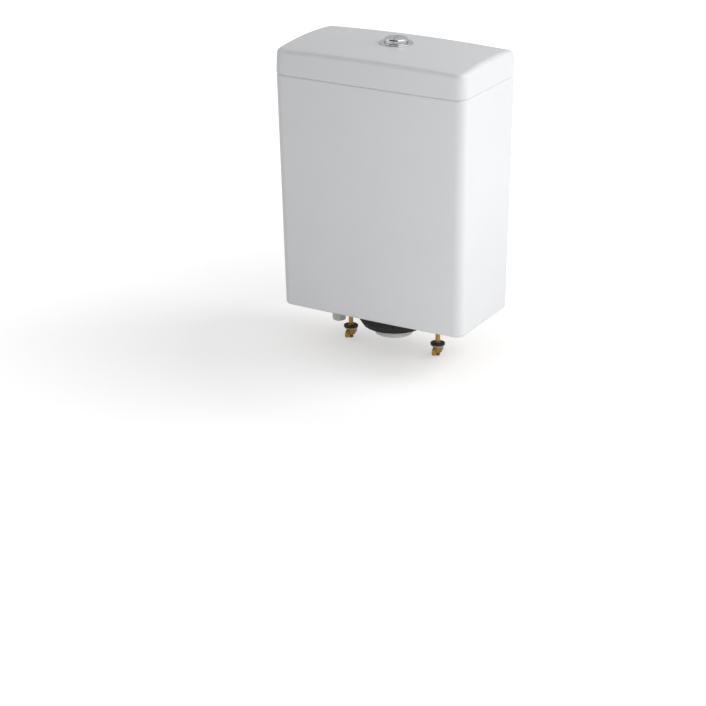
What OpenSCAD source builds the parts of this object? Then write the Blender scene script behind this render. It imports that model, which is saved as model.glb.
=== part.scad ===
// Close-coupled toilet cistern with its lid, dual-flush button, flush valve, fill valve and coupling kit.
// Millimetres. Origin on the outlet axis, in the plane of the tank's foot.
// +X is to the right seen from the front, +Y points to the wall, +Z is up.

/* [Nodes] */
// Which piece to draw

/* [Tank] */
// Width across the rim
tank_w = 310; // [290:1:330]
// Depth at the rim, wall face to the middle of the front
tank_d = 166; // [158:1:180]
// Height of the rim above the foot
tank_h = 360; // [350:1:400]
// How far each side leans in at the foot
side_taper = 4.5; // [0:0.5:7]
// How far the front leans in at the foot
front_taper = 13; // [8:1:18]
// Radius of the front corners
corner_r = 14; // [12:1:20]
// Radius of the rear corners
rear_r = 4; // [2:1:8]
// Bow of the front face
front_bow = 2; // [0:0.5:4]
// Thickness of the ceramic walls
wall_t = 10; // [8:0.5:12]
// Thickness of the ceramic floor
floor_t = 12; // [10:1:15]
// Height of the foot
foot_h = 3; // [2:0.5:5]
// Width of the foot around the edge
foot_w = 14; // [11:1:18]
// Round on the lower outside edge
edge_r = 4; // [2:0.5:6]
// Round on the edges at the lid seam
rim_r = 3; // [1:0.5:4]
// Distance from the outlet axis to the wall
outlet_to_wall = 76; // [73:1:80]

/* [Lid] */
// Height of the lid above the rim, at its highest point
lid_h = 46; // [40:1:55]
// How far the lid stands past the tank
lid_overhang = 0.75; // [0:0.25:3]
// Radius of the lid's front corners
lid_corner_r = 16; // [13:1:22]
// How far the lid's walls lean in at the top edge
lid_draft = 1; // [0:0.5:2]
// Round on the top edge
lid_edge_r = 8; // [6:0.5:10]
// Fall of the top from the middle to the sides
crown_x = 4; // [0.5:0.5:5]
// Fall of the top from the middle to front and back
crown_y = 5; // [2:0.5:7]
// Thickness of the top at its middle
lid_top_t = 14; // [12:0.5:16]
// Thickness of the lid's walls
lid_wall_t = 14; // [12.5:0.5:16]
// How far the locating lugs reach into the tank
lug_drop = 8; // [5:1:12]

/* [Wall screws] */
// Distance between the two wall screw holes
screw_spacing = 190; // [160:1:210]
// Height of the wall screw holes
screw_z = 300; // [260:1:320]
// Diameter of the wall screw holes
screw_hole_d = 9; // [7:0.5:10]

/* [Flush button] */
// Diameter of the hole in the lid
button_hole_d = 40; // [39.5:0.5:42]
// Diameter of the bezel
bezel_d = 49.5; // [48:0.5:56]
// Height of the bezel's inner lip
bezel_h = 2.2; // [2:0.1:4]
// Diameter of the bezel's threaded barrel
barrel_d = 38.4; // [37.6:0.2:39]
// Diameter of the pair of buttons
button_d = 34.4; // [32:0.2:34.6]
// Height of the buttons above the bezel's seat
button_rise = 8.8; // [7:0.2:9.4]
// Travel of each button
button_travel = 8; // [6:0.5:8]
// Turn of the button set in its hole
button_turn = 12; // [0:1:24]
// Radius of the curved split between the buttons
split_r = 70; // [40:1:90]
// Width of the split
split_gap = 0.6; // [0.4:0.1:1]
// Distance of the button stems from the middle
stem_offset = 8.5; // [8:0.1:9]
// Radius of the push rods
rod_r = 3.2; // [2.8:0.1:3.4]

/* [Flush valve] */
// Bore of the outlet tail
outlet_bore_d = 50; // [46:0.5:52]
// Thread diameter of the outlet tail
outlet_thread_d = 59.6; // [59:0.1:60]
// Length of the outlet tail below the foot
outlet_tail = 42; // [38:1:50]
// Height of the valve tower's top
tower_z = 285; // [270:1:290]
// Radius of the valve tower
tower_r = 35; // [34:0.5:37]
// Radius of the overflow tube
overflow_r = 16; // [14.5:0.5:16.5]
// How far the overflow tube's top lies below the tower's
overflow_drop = 8; // [8:1:20]

/* [Fill valve] */
// Distance of the fill valve from the side of the tank
inlet_to_side = 49; // [46:1:52]
// Distance of the fill valve behind the outlet axis
inlet_y = 18; // [16:1:24]
// Thread diameter of the inlet tail
inlet_thread_d = 20.95; // [20.5:0.05:21]
// Length of the inlet tail below the foot
inlet_tail = 48; // [44:1:55]
// Radius of the riser sleeve
riser_r = 11; // [10:0.5:12]
// Height of the fill valve's head
head_z = 230; // [225:1:245]
// Diameter of the float cup
float_d = 60; // [56:1:62]
// Travel of the float
float_travel = 12; // [9:0.5:12]

/* [Coupling kit] */
// Distance between the coupling bolts
bolt_spacing = 150; // [146:1:152]
// Radius of the coupling bolts' plain shank
bolt_shank_r = 3.55; // [3.5:0.05:3.6]
// Radius of the coupling bolts' thread
bolt_thread_r = 4; // [3.9:0.05:4]
// Length of the coupling bolts below the foot
bolt_drop = 66; // [60:1:75]

/* [Hidden] */

$fn = 64;

// Shared clearances
slip = 0.05;
thread_gap = 0.1;
touch_gap = 0.3;

// Tank
wall_y = outlet_to_wall;
floor_under = foot_h;
floor_top = foot_h + floor_t;
floor_r = 6;
inner_r = 8;
inner_r_min = 6;
bolt_hole_r = 6;
inlet_hole_r = inlet_thread_d / 2 + 1.2;
outlet_hole_r = outlet_thread_d / 2 + 2;

// Lid
lid_w = tank_w + 2 * lid_overhang;
lid_front = wall_y - tank_d - lid_overhang;
lid_back = wall_y - 0.5;
lid_z = tank_h + lid_h;
lid_ceiling = lid_z - lid_top_t;
lug_play = 1.75;
lug_t = 7;
lug_h = 16;
side_lug_w = 60;
front_lug_w = 30;
front_lug_spacing = 120;

// Button set, heights measured from the bezel's seat in the lid
seat_depth = 0.5;
bezel_seat = lid_z - seat_depth;
bezel_edge_t = 1.2;
bezel_land_w = 5;
bezel_land_h = 1.9;
bezel_lip_w = 2;
barrel_r = barrel_d / 2;
button_play = 0.4;
barrel_bore = button_d / 2 + button_play;
washer_t = 2;
washer_w = 8;
locknut_t = 8;
locknut_w = 4;
locknut_flange_t = 3;
locknut_flange_w = 7;
locknut_lug_w = 4;
barrel_end = lid_ceiling - washer_t - locknut_t - button_travel - 1;
guide_t = 5;
guide_top = barrel_end + guide_t;
cap_skirt = 5;
cap_under = bezel_seat - cap_skirt;
cap_round = 3.4;
cap_top = bezel_seat + button_rise;
dish_depth = 0.8;
dish_half = button_d / 2 + 0.5;
dish_r = (dish_half * dish_half + dish_depth * dish_depth) / (2 * dish_depth);
split_shift = 1.2;
stem_r = 4;
stem_end = barrel_end - button_play;
plug_l = 12;
collar_t = 2;
collar_w = 1.4;
spring_r = 6;
spring_wire = 0.5;
spring_turns = 5;
rod_x = stem_offset * cos(button_turn);
rod_y = stem_offset * sin(button_turn);

// Flush lever: the rod presses the nose, the far tip lifts the yoke
pivot_rise = 15;
pivot_z = tower_z + pivot_rise;
pivot_x = 30;
lever_arm = pivot_x - rod_x;
nose_r = 3;
hub_r = 5;
lever_t = 8;
tip_arm = 22;
rod_tip = pivot_z + nose_r + touch_gap;
yoke_pad = pivot_z + nose_r + touch_gap;
yoke_t = 4;
yoke_w = 8;
yoke_end = 5;
yoke_z = yoke_pad + 2.7;
ear_t = 3;
ear_r = 4;
ear_gap = 0.4;
pin_r = 2;
pin_head_t = 1.2;

// Outlet base and seat
gasket_t = 3;
base_z = floor_top + gasket_t;
base_flange_t = 4;
seat_rise = 4;
seat_t = 3.5;
seat_z = base_z + base_flange_t + seat_rise;
seal_t = 2.5;
seal_w = 6.5;
carrier_t = 5;
carrier_w = 5.5;
socket_t = 4;
socket_h = 14;
cage_gap = 5;
cage_r = tower_r + cage_gap;
cage_t = 3;
cage_h = 52;
cage_ring_h = 6;
cage_rib_w = 8;
cage_top = base_z + cage_h;
base_flange_r = cage_r + 4;
nut_t = 12;
nut_w = 6;
nut_lug_w = 6;
nut_lug_h = 9;
doughnut_gap = 10;
doughnut_w = 15;
doughnut_foot_w = 7;
doughnut_h = 31;
doughnut_side_h = 20;

// Valve tower, overflow and half-flush parts
tower_t = 3;
tower_top_t = 5;
tower_foot_h = 6;
hook_gap = 0.4;
hook_t = 3;
hook_w = 12;
hook_h = 12;
low_window_w = 26;
low_window_z = 18;
low_window_h = 70;
high_window_w = 22;
window_bar = 10;
high_window_gap = 22;
overflow_t = 2.5;
overflow_play = 3;
overflow_z = tower_z - overflow_drop;
stop_ring_w = 2.2;
stop_ring_t = 3;
stop_ring_gap = 5;
float_drop = 55;
half_float_h = 40;
half_float_wall = 1.5;
half_float_top_t = 2;
half_float_play = 3;
float_high = tower_z - float_drop;
float_low = float_high - half_float_h;
trip_x = 24;
trip_rod_r = 3;
trip_pad_r = 5;
trip_hub_r = 4.5;
trip_t = 4;
trip_w = 6;

// Fill valve
inlet_x = tank_w / 2 - inlet_to_side;
inlet_r = inlet_thread_d / 2;
inlet_washer_t = 3;
shank_flange_w = 5;
shank_flange_r = inlet_r + shank_flange_w;
shank_z = floor_top + inlet_washer_t;
shank_flange_t = 4;
spigot_gap = 1.6;
spigot_h = 40;
shank_bore_r = 6.5;
mouth_r = 7.6;
mouth_h = 18;
groove_w = 1.2;
groove_d = 0.7;
backnut_t = 12;
backnut_w = 5.5;
backnut_flange_t = 3;
backnut_flange_w = 6;
strainer_h = 16;
strainer_inset = 1;
strainer_wall = 1.3;
strainer_cap_t = 1.5;
slot_w = 1.6;
riser_t = 1.5;
head_r = 17;
head_h = 26;
head_bore_r = 7;
head_lip_t = 2.5;
chamber_h = 4;
spout_r = 5;
spout_t = 1.5;
spout_l = 8;
spout_z = 10;
diaphragm_t = 2;
cap_h = 8;
cap_grip_r = 1.2;
nozzle_r = 2.5;
nozzle_h = 2.5;
nozzle_y = 5;
fill_top = head_z + head_h + cap_h;
float_pivot_rise = 8;
float_pivot_z = fill_top + float_pivot_rise;
float_pivot_y = -5;
float_ear_x = 10;
float_arm = 20;
float_swing = 2 * asin(float_travel / 2 / float_arm);
float_rod_y = float_pivot_y - float_arm + 0.5;
float_rod_r = 2;
float_play = 1.5;
float_wall = 2;
float_round = 3;
float_h = 55;
float_drop_z = 80;
float_z = head_z - float_drop_z;
float_top = float_z + float_h;
socket_r = 3.6;
socket_d = 12;
knuckle_r = 3;
knuckle_x = 4.8;
knuckle_t = 4;
knuckle_z = float_pivot_z - float_travel / 2;
rod_collar_r = 4.2;
rod_collar_t = 2;
rod_free = 14;
adjuster_h = 8;
adjuster_r = 5.4;
finger_l = 13;
hub_w = 14;

// Coupling kit
bolt_thread_end = -bolt_drop;
bolt_stick = 6;
bolt_head_r = 10;
bolt_head_t = 3;
bolt_rib_w = 2.4;
bolt_neck = 4;
bolt_free_thread = 8;
bolt_seal_r = 11;
bolt_seal_t = 4;
bolt_seal_plug = 2;
pan_washer_r = 11;
pan_washer_t = 3;
bolt_washer_r = 10;
bolt_washer_t = 1.6;
wing_z = bolt_thread_end + bolt_stick;
wing_h = 10;
wing_hub_r = 6.5;
wing_top_r = 8;
wing_reach = 11;
wing_r = 6;
wing_t = 3;

// Outline helpers

function arc_points(cx, cy, r, a0, a1, n) =
  [for (i = [0 : n - 1]) let (a = a0 + (a1 - a0) * i / n) [cx + r * cos(a), cy + r * sin(a)]];

function line_points(p, q, n) = [for (i = [0 : n - 1]) p + (q - p) * i / n];

// Rounded plan with a bowed front, anticlockwise from the rear right
function plan_points(w, y_front, y_rear, rf, rr, bow, n_side, n_long) =
  let (
    hw = w / 2,
    lean = atan(2 * bow * (hw - rf) / (hw * hw)),
    xe = hw - rf + rf * sin(lean),
    ye = y_front + bow * (xe / hw) * (xe / hw),
    cy = ye + rf * cos(lean),
    xr = hw - rr,
    yr = y_rear - rr
  )
  concat(
    line_points([xr, y_rear], [-xr, y_rear], n_long),
    arc_points(-xr, yr, rr, 90, 180, 4),
    line_points([-hw, yr], [-hw, cy], n_side),
    arc_points(rf - hw, cy, rf, 180, 270 - lean, 8),
    [for (i = [0 : n_long - 1]) let (x = -xe + 2 * xe * i / n_long) [x, y_front + bow * (x / hw) * (x / hw)]],
    arc_points(hw - rf, cy, rf, 270 + lean, 360, 8),
    line_points([hw, cy], [hw, yr], n_side),
    arc_points(xr, yr, rr, 0, 90, 4)
  );

function at_height(points, z) = [for (p = points) [p[0], p[1], z]];

// Skin over rings of equal length, bottom to top, closed by flat fans
module loft(rings) {
  n = len(rings[0]);
  m = len(rings);
  low = [0, 0, rings[0][0][2]];
  high = [0, 0, max([for (p = rings[m - 1]) p[2]])];
  points = concat([for (r = rings) each r], [low, high]);
  sides = [for (k = [0 : m - 2]) for (i = [0 : n - 1]) let (j = (i + 1) % n)
    each [[k * n + i, (k + 1) * n + i, (k + 1) * n + j], [k * n + i, (k + 1) * n + j, k * n + j]]];
  bottom = [for (i = [0 : n - 1]) [n * m, i, (i + 1) % n]];
  top = [for (i = [0 : n - 1]) [n * m + 1, (m - 1) * n + (i + 1) % n, (m - 1) * n + i]];
  polyhedron(points, concat(sides, bottom, top), convexity = 6);
}

// Solid helpers

module rod(r, z0, z1) {
  translate([0, 0, z0])
    cylinder(r = r, h = z1 - z0);
}

module tube(r_out, r_in, z0, z1) {
  difference() {
    rod(r_out, z0, z1);
    rod(r_in, z0 - 1, z1 + 1);
  }
}

module block(x0, x1, y0, y1, z0, z1) {
  translate([x0, y0, z0])
    cube([x1 - x0, y1 - y0, z1 - z0]);
}

module across_y(r, y0, y1) {
  translate([0, y1, 0])
    rotate([90, 0, 0])
      cylinder(r = r, h = y1 - y0);
}

module across_x(r, x0, x1) {
  translate([x0, 0, 0])
    rotate([0, 90, 0])
      cylinder(r = r, h = x1 - x0);
}

module at_bolts() {
  for (s = [-1, 1])
    translate([s * bolt_spacing / 2, 0, 0])
      children();
}

module at_fill() {
  translate([-inlet_x, inlet_y, 0])
    children();
}

// Tank and lid

function tank_ring(z, inset, wall, rear_inset) =
  let (lean = 1 - z / tank_h, in = inset + wall)
  at_height(plan_points(tank_w - 2 * side_taper * lean - 2 * in, wall_y - tank_d + front_taper * lean + in,
    wall_y - rear_inset - wall, max(corner_r - in, inner_r_min), wall > 0 ? inner_r : rear_r, front_bow,
    1, 10), z);

// Hollow tapered shell with a foot, and the holes for its fittings
module cistern_tank() {
  outer = concat(
    [for (a = [0, 30, 60]) tank_ring(edge_r * (1 - cos(a)), edge_r * (1 - sin(a)), 0, edge_r * (1 - sin(a)))],
    [tank_ring(edge_r, 0, 0, 0), tank_ring(tank_h - rim_r, 0, 0, 0)],
    [for (a = [45, 90]) tank_ring(tank_h - rim_r + rim_r * sin(a), rim_r * (1 - cos(a)), 0,
      rim_r * (1 - cos(a)))]
  );
  inner = concat(
    [for (a = [0, 30, 60]) tank_ring(floor_top + floor_r * (1 - cos(a)), floor_r * (1 - sin(a)), wall_t,
      floor_r * (1 - sin(a)))],
    [tank_ring(floor_top + floor_r, 0, wall_t, 0), tank_ring(tank_h + 1, 0, wall_t, 0)]
  );
  color("white")
    difference() {
      loft(outer);
      loft(inner);
      translate([0, 0, -1])
        linear_extrude(foot_h + 1)
          polygon(plan_points(tank_w - 2 * side_taper - 2 * foot_w, wall_y - tank_d + front_taper + foot_w,
            wall_y - foot_w, inner_r, inner_r, front_bow, 1, 10));
      rod(outlet_hole_r, 0, floor_top + 1);
      at_bolts()
        rod(bolt_hole_r, 0, floor_top + 1);
      at_fill()
        rod(inlet_hole_r, 0, floor_top + 1);
      for (s = [-1, 1])
        translate([s * screw_spacing / 2, 0, screw_z])
          across_y(screw_hole_d / 2, wall_y - wall_t - 1, wall_y + 1);
    }
}

function crown(x, y) = lid_z - crown_x * pow(2 * x / lid_w, 2) - crown_y * pow(2 * y / tank_d, 2);

function lid_plan(inset) =
  plan_points(lid_w - 2 * inset, lid_front + inset, lid_back - inset, lid_corner_r - inset,
    max(rear_r + 2 - inset, 1), front_bow, 6, 12);

function lid_edge_ring(a) =
  [for (p = lid_plan(lid_draft + lid_edge_r * (1 - cos(a))))
    [p[0], p[1], crown(p[0], p[1]) - lid_edge_r * (1 - sin(a))]];

function lid_top_ring(t) =
  [for (p = lid_plan(lid_draft + lid_edge_r)) [p[0] * t, p[1] * t, crown(p[0] * t, p[1] * t)]];

// Locating lug: its root joins the lid's wall and its end hangs just inside the tank's wall
module lug(out, root, w) {
  block(-w / 2, w / 2, out - lug_t, out, tank_h - lug_drop, tank_h + lug_h);
  block(-w / 2, w / 2, out - lug_t, root + 0.5, tank_h + rim_r, tank_h + lug_h);
}

// Crowned cap with a hollow underside, locating lugs and the button hole
module cistern_lid() {
  lid_x_in = lid_w / 2 - lid_wall_t;
  lid_front_in = lid_front + lid_wall_t;
  lid_back_in = lid_back - lid_wall_t;
  outer = concat(
    [for (a = [0, 45]) at_height(lid_plan(rim_r * (1 - sin(a))), tank_h + rim_r * (1 - cos(a)))],
    [at_height(lid_plan(0), tank_h + rim_r)],
    [for (a = [0 : 18 : 90]) lid_edge_ring(a)],
    [for (t = [0.8, 0.6, 0.4, 0.2]) lid_top_ring(t)]
  );
  color("white") {
    difference() {
      loft(outer);
      translate([0, 0, tank_h - 1])
        linear_extrude(lid_ceiling - tank_h + 1)
          polygon(plan_points(2 * lid_x_in, lid_front_in, lid_back_in, inner_r, inner_r, front_bow, 1, 10));
      rod(button_hole_d / 2, lid_ceiling - 1, lid_z + 5);
      rod(bezel_d / 2 + button_play, bezel_seat, lid_z + 5);
    }
    for (s = [-1, 1]) {
      rotate([0, 0, -90 * s])
        lug(tank_w / 2 - wall_t - lug_play, lid_x_in, side_lug_w);
      translate([s * front_lug_spacing / 2, 0, 0]) {
        lug(wall_y - wall_t - lug_play, lid_back_in, front_lug_w);
        rotate([0, 0, 180])
          lug(tank_d - wall_y - wall_t - front_bow - lug_play, -lid_front_in, front_lug_w);
      }
    }
  }
}

// Button set in the lid

// Flanged ring with a hollow barrel through the lid
module button_bezel() {
  flange_r = bezel_d / 2;
  color("silver")
    rotate_extrude()
      polygon([[barrel_bore, barrel_end], [barrel_r, barrel_end], [barrel_r, bezel_seat],
        [flange_r, bezel_seat], [flange_r, bezel_seat + bezel_edge_t],
        [flange_r - 0.5, bezel_seat + bezel_edge_t + 0.5],
        [flange_r - bezel_land_w, bezel_seat + bezel_land_h],
        [barrel_bore + bezel_lip_w, bezel_seat + bezel_h - 0.3],
        [barrel_bore + bezel_lip_w - 0.8, bezel_seat + bezel_h], [barrel_bore + 0.4, bezel_seat + bezel_h],
        [barrel_bore, bezel_seat + bezel_h - 0.4]]);
}

// Soft washer under the lid
module bezel_washer() {
  color("dimgray")
    tube(barrel_r + washer_w, barrel_r + thread_gap, lid_ceiling - washer_t, lid_ceiling);
}

// Nut with finger lugs that clamps the bezel to the lid
module bezel_locknut() {
  z1 = lid_ceiling - washer_t;
  z0 = z1 - locknut_t;
  color("whitesmoke")
    difference() {
      union() {
        rod(barrel_r + locknut_flange_w, z1 - locknut_flange_t, z1);
        rod(barrel_r + locknut_w, z0, z1);
        for (a = [0 : 60 : 300])
          rotate([0, 0, a])
            block(0, barrel_r + locknut_flange_w, -locknut_lug_w / 2, locknut_lug_w / 2, z0, z1);
      }
      rod(barrel_r + thread_gap, z0 - 1, z1 + 1);
    }
}

// Disc in the foot of the barrel that guides both stems
module button_guide() {
  color("whitesmoke")
    difference() {
      rod(barrel_bore - slip, barrel_end, guide_top);
      for (s = [-1, 1])
        translate([s * rod_x, s * rod_y, 0])
          rod(stem_r + slip, barrel_end - 1, guide_top + 1);
    }
}

// Plan of one button: the full button bulges into the half button
module button_plan(full) {
  rotate([0, 0, button_turn])
    if (full)
      intersection() {
        circle(r = button_d / 2);
        translate([split_r - split_shift, 0])
          circle(r = split_r - split_gap / 2);
      }
    else
      difference() {
        circle(r = button_d / 2);
        translate([split_r - split_shift, 0])
          circle(r = split_r + split_gap / 2);
      }
}

// Dished cap on a hollow stem
module button_cap(full) {
  r = button_d / 2;
  s = full ? 1 : -1;
  color("silver") {
    intersection() {
      translate([0, 0, cap_under])
        linear_extrude(cap_top - cap_under)
          button_plan(full);
      difference() {
        rotate_extrude()
          polygon(concat([[0, cap_under], [r, cap_under]],
            [for (a = [0 : 15 : 90]) [r - cap_round * (1 - cos(a)), cap_top - cap_round * (1 - sin(a))]],
            [[0, cap_top]]));
        translate([0, 0, cap_top + dish_r - dish_depth])
          sphere(r = dish_r, $fn = 128);
      }
    }
    translate([s * rod_x, s * rod_y, 0])
      difference() {
        rod(stem_r, stem_end, cap_under + 1);
        rod(rod_r + slip, stem_end - 1, stem_end + plug_l + 1);
      }
  }
}

module full_flush_button() {
  button_cap(true);
}

module half_flush_button() {
  button_cap(false);
}

// Push rod with a stop collar, plugged into its stem
module push_rod(s) {
  color("gainsboro")
    translate([s * rod_x, s * rod_y, 0]) {
      rod(rod_r, rod_tip, stem_end + plug_l);
      rod(stem_r + collar_w, stem_end - collar_t, stem_end);
    }
}

module full_flush_rod() {
  push_rod(1);
}

module half_flush_rod() {
  push_rod(-1);
}

// Open coil between the guide and a cap
module coil(s) {
  steps = 14;
  sides = 6;
  z0 = guide_top + spring_wire + 0.1;
  z1 = cap_under - spring_wire - 0.1;
  n = spring_turns * steps;
  rings = [for (i = [0 : n]) [for (k = [0 : sides - 1])
    let (a = 360 * i / steps, b = 360 * k / sides, rr = spring_r + spring_wire * cos(b))
    [rr * cos(a), rr * sin(a), z0 + (z1 - z0) * i / n + spring_wire * sin(b)]]];
  points = [for (r = rings) each r];
  walls = [for (i = [0 : n - 1]) for (k = [0 : sides - 1]) let (j = (k + 1) % sides)
    each [[i * sides + k, i * sides + j, (i + 1) * sides + j],
      [i * sides + k, (i + 1) * sides + j, (i + 1) * sides + k]]];
  ends = [[for (k = [sides - 1 : -1 : 0]) k], [for (k = [0 : sides - 1]) n * sides + k]];
  color("darkgray")
    translate([s * rod_x, s * rod_y, 0])
      polyhedron(points, concat(walls, ends), convexity = 8);
}

module full_button_spring() {
  coil(1);
}

module half_button_spring() {
  coil(-1);
}

// Flush valve

// Threaded tail, flange, valve seat and open cage
module outlet_base() {
  bore = outlet_bore_d / 2;
  color("whitesmoke")
    difference() {
      union() {
        rod(outlet_thread_d / 2, -outlet_tail, base_z + base_flange_t);
        rod(base_flange_r, base_z, base_z + base_flange_t);
        rod(bore + seat_t, base_z, seat_z);
        tube(cage_r, cage_r - cage_t, cage_top - cage_ring_h, cage_top);
        for (a = [30 : 60 : 330])
          rotate([0, 0, a])
            block(cage_r - cage_t, cage_r - 0.2, -cage_rib_w / 2, cage_rib_w / 2, base_z, cage_top);
      }
      rod(bore, -outlet_tail - 1, seat_z + 1);
    }
}

// Flat rubber ring between the flange and the ceramic floor
module outlet_gasket() {
  color("dimgray")
    tube(base_flange_r - 1, outlet_thread_d / 2 + 0.2, floor_top, base_z);
}

// Large nut under the floor
module outlet_backnut() {
  z0 = floor_under - nut_t;
  nut_r = outlet_thread_d / 2 + nut_w;
  color("whitesmoke")
    difference() {
      union() {
        rod(nut_r, z0, floor_under);
        for (a = [0 : 45 : 315])
          rotate([0, 0, a])
            block(nut_r - 2, nut_r + nut_lug_w / 2, -nut_lug_w / 2, nut_lug_w / 2, z0, z0 + nut_lug_h);
      }
      rod(outlet_thread_d / 2 + thread_gap, z0 - 1, floor_under + 1);
    }
}

// Thick tapered ring that seals the outlet from outside
module doughnut_seal() {
  ri = outlet_thread_d / 2 + doughnut_gap;
  color("dimgray")
    rotate_extrude()
      polygon([[ri, floor_under], [ri + doughnut_w, floor_under],
        [ri + doughnut_w - 1, floor_under - doughnut_side_h],
        [ri + doughnut_foot_w, floor_under - doughnut_h], [ri, floor_under - doughnut_h]]);
}

// Windowed tube that hooks on the cage and carries the lever
module valve_tower() {
  ri = tower_r - tower_t;
  ear_y = lever_t / 2 + ear_gap + ear_t / 2;
  low_window_top = cage_top + low_window_z + low_window_h;
  reach = 2 * tower_r;
  color("whitesmoke")
    difference() {
      union() {
        rod(tower_r, cage_top, tower_z);
        rod(cage_r + hook_gap + hook_t, cage_top, cage_top + tower_foot_h);
        for (a = [60 : 120 : 300])
          rotate([0, 0, a])
            block(cage_r + hook_gap, cage_r + hook_gap + hook_t - 0.2, -hook_w / 2, hook_w / 2,
              cage_top - hook_h, cage_top + 1);
        for (s = [-1, 1])
          translate([pivot_x, rod_y + s * ear_y, 0]) {
            block(-ear_r - 1, ear_r, -ear_t / 2, ear_t / 2, tower_z - 1, pivot_z);
            translate([0, 0, pivot_z])
              across_y(ear_r, -ear_t / 2, ear_t / 2);
          }
        block(pivot_x - 2 * ear_r, pivot_x + ear_r, rod_y - ear_y - ear_t / 2, rod_y + ear_y + ear_t / 2,
          tower_z - tower_top_t, tower_z);
      }
      rod(ri, cage_top - 1, tower_z - tower_top_t);
      rod(overflow_r + overflow_play, cage_top, tower_z + 1);
      translate([-trip_x, -rod_y, 0])
        rod(trip_rod_r + 2 * slip, tower_z - tower_top_t - 1, tower_z + 1);
      translate([pivot_x, rod_y, pivot_z])
        across_y(pin_r + slip, -lever_t - ear_t, lever_t + ear_t);
      for (a = [0, 90])
        rotate([0, 0, a]) {
          block(-reach, reach, -low_window_w / 2, low_window_w / 2, cage_top + low_window_z, low_window_top);
          block(-reach, reach, -high_window_w / 2, high_window_w / 2, low_window_top + window_bar,
            tower_z - high_window_gap);
        }
    }
}

// Open tube that carries the seal and lets surplus water away
module overflow_tube() {
  color("gainsboro")
    difference() {
      union() {
        rod(overflow_r, seat_z + seal_t, overflow_z);
        rod(overflow_r + stop_ring_w, overflow_z - stop_ring_gap - stop_ring_t, overflow_z - stop_ring_gap);
      }
      rod(overflow_r - overflow_t, seat_z, overflow_z + 1);
    }
}

// Bridge on the overflow tube that the full lever lifts
module lift_yoke() {
  ri = overflow_r - overflow_t;
  ro = overflow_r + overflow_t;
  tip_x = pivot_x + tip_arm;
  y0 = rod_y - yoke_w / 2;
  y1 = rod_y + yoke_w / 2;
  color("lightsteelblue") {
    tube(ro, ri, yoke_z, yoke_z + yoke_t);
    block(ri + 1, tip_x + yoke_end, y0, y1, yoke_z, yoke_z + yoke_t);
    block(tip_x - yoke_end, tip_x + yoke_end, y0, y1, yoke_pad, yoke_z + 1);
    intersection() {
      tube(ro, ri, overflow_z, yoke_z + 1);
      block(-yoke_end, yoke_end, -2 * ro, 2 * ro, overflow_z, yoke_z + 1);
    }
  }
}

// Disc under the overflow tube that holds the seal
module seal_carrier() {
  z0 = seat_z + seal_t;
  color("whitesmoke")
    difference() {
      union() {
        rod(outlet_bore_d / 2 + carrier_w, z0, z0 + carrier_t);
        rod(overflow_r + socket_t, z0, z0 + socket_h);
      }
      rod(overflow_r + slip, z0 - 1, z0 + socket_h + 1);
    }
}

// Rubber ring that closes the valve seat
module seat_seal() {
  color("tomato")
    tube(outlet_bore_d / 2 + seal_w, overflow_r - overflow_t, seat_z, seat_z + seal_t);
}

// Side view of the lever, nose at the left and tip at the right of the pivot
module lever_profile() {
  difference() {
    union() {
      circle(r = hub_r);
      translate([-lever_arm, 0])
        circle(r = nose_r);
      translate([tip_arm, 0])
        circle(r = nose_r);
      translate([-lever_arm, -nose_r])
        square([lever_arm + tip_arm, nose_r + 1]);
    }
    circle(r = pin_r + slip);
  }
}

// Rocking lever: the push rod lowers its nose and its tip lifts the yoke
module full_flush_lever() {
  color("steelblue")
    translate([pivot_x, rod_y + lever_t / 2, pivot_z])
      rotate([90, 0, 0])
        linear_extrude(lever_t)
          lever_profile();
}

// Pin of the flush lever
module lever_pin() {
  half = lever_t / 2 + ear_gap + ear_t;
  color("silver")
    translate([pivot_x, rod_y, pivot_z]) {
      across_y(pin_r, -half - 0.3, half + 0.3);
      across_y(pin_r + pin_head_t, half, half + pin_head_t);
    }
}

// Pad and rod that push the half-flush float down
module half_flush_trip() {
  pad_z = rod_tip - touch_gap;
  color("seagreen")
    translate([0, -rod_y, 0]) {
      translate([-rod_x, 0, 0])
        rod(trip_pad_r, pad_z - trip_t + 1, pad_z);
      block(-trip_x, -rod_x, -trip_w / 2, trip_w / 2, pad_z - trip_t - 1, pad_z - 1);
      translate([-trip_x, 0, 0]) {
        rod(trip_hub_r, pad_z - trip_t - 1, pad_z - 1);
        rod(trip_rod_r, float_high, pad_z - 1);
      }
    }
}

// Ring float, open below, on the trip rod
module half_flush_float() {
  ro = tower_r - tower_t - half_float_play;
  ri = overflow_r + stop_ring_w;
  w = half_float_wall;
  under = float_high - half_float_top_t;
  color("seagreen")
    rotate_extrude()
      polygon([[ri, float_low], [ri + w, float_low], [ri + w, under], [ro - w, under], [ro - w, float_low],
        [ro, float_low], [ro, float_high], [ri, float_high]]);
}

// Fill valve

// Threaded tail with a flange, grooved below its nut
module inlet_shank() {
  groove = floor_under - backnut_t - 0.5;
  color("whitesmoke")
    at_fill()
      difference() {
        union() {
          rod(inlet_r, -inlet_tail, shank_z + 1);
          rod(shank_flange_r, shank_z, shank_z + shank_flange_t);
          rod(riser_r - spigot_gap, shank_z, shank_z + spigot_h);
        }
        tube(inlet_r + shank_flange_w, inlet_r - groove_d, groove - groove_w, groove);
        rod(shank_bore_r, -inlet_tail - 1, shank_z + spigot_h + 1);
        rod(mouth_r, -inlet_tail - 1, -inlet_tail + mouth_h);
      }
}

// Rubber washer inside the tank
module inlet_washer() {
  color("dimgray")
    at_fill()
      tube(shank_flange_r - 0.5, inlet_r + thread_gap, floor_top, shank_z);
}

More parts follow.
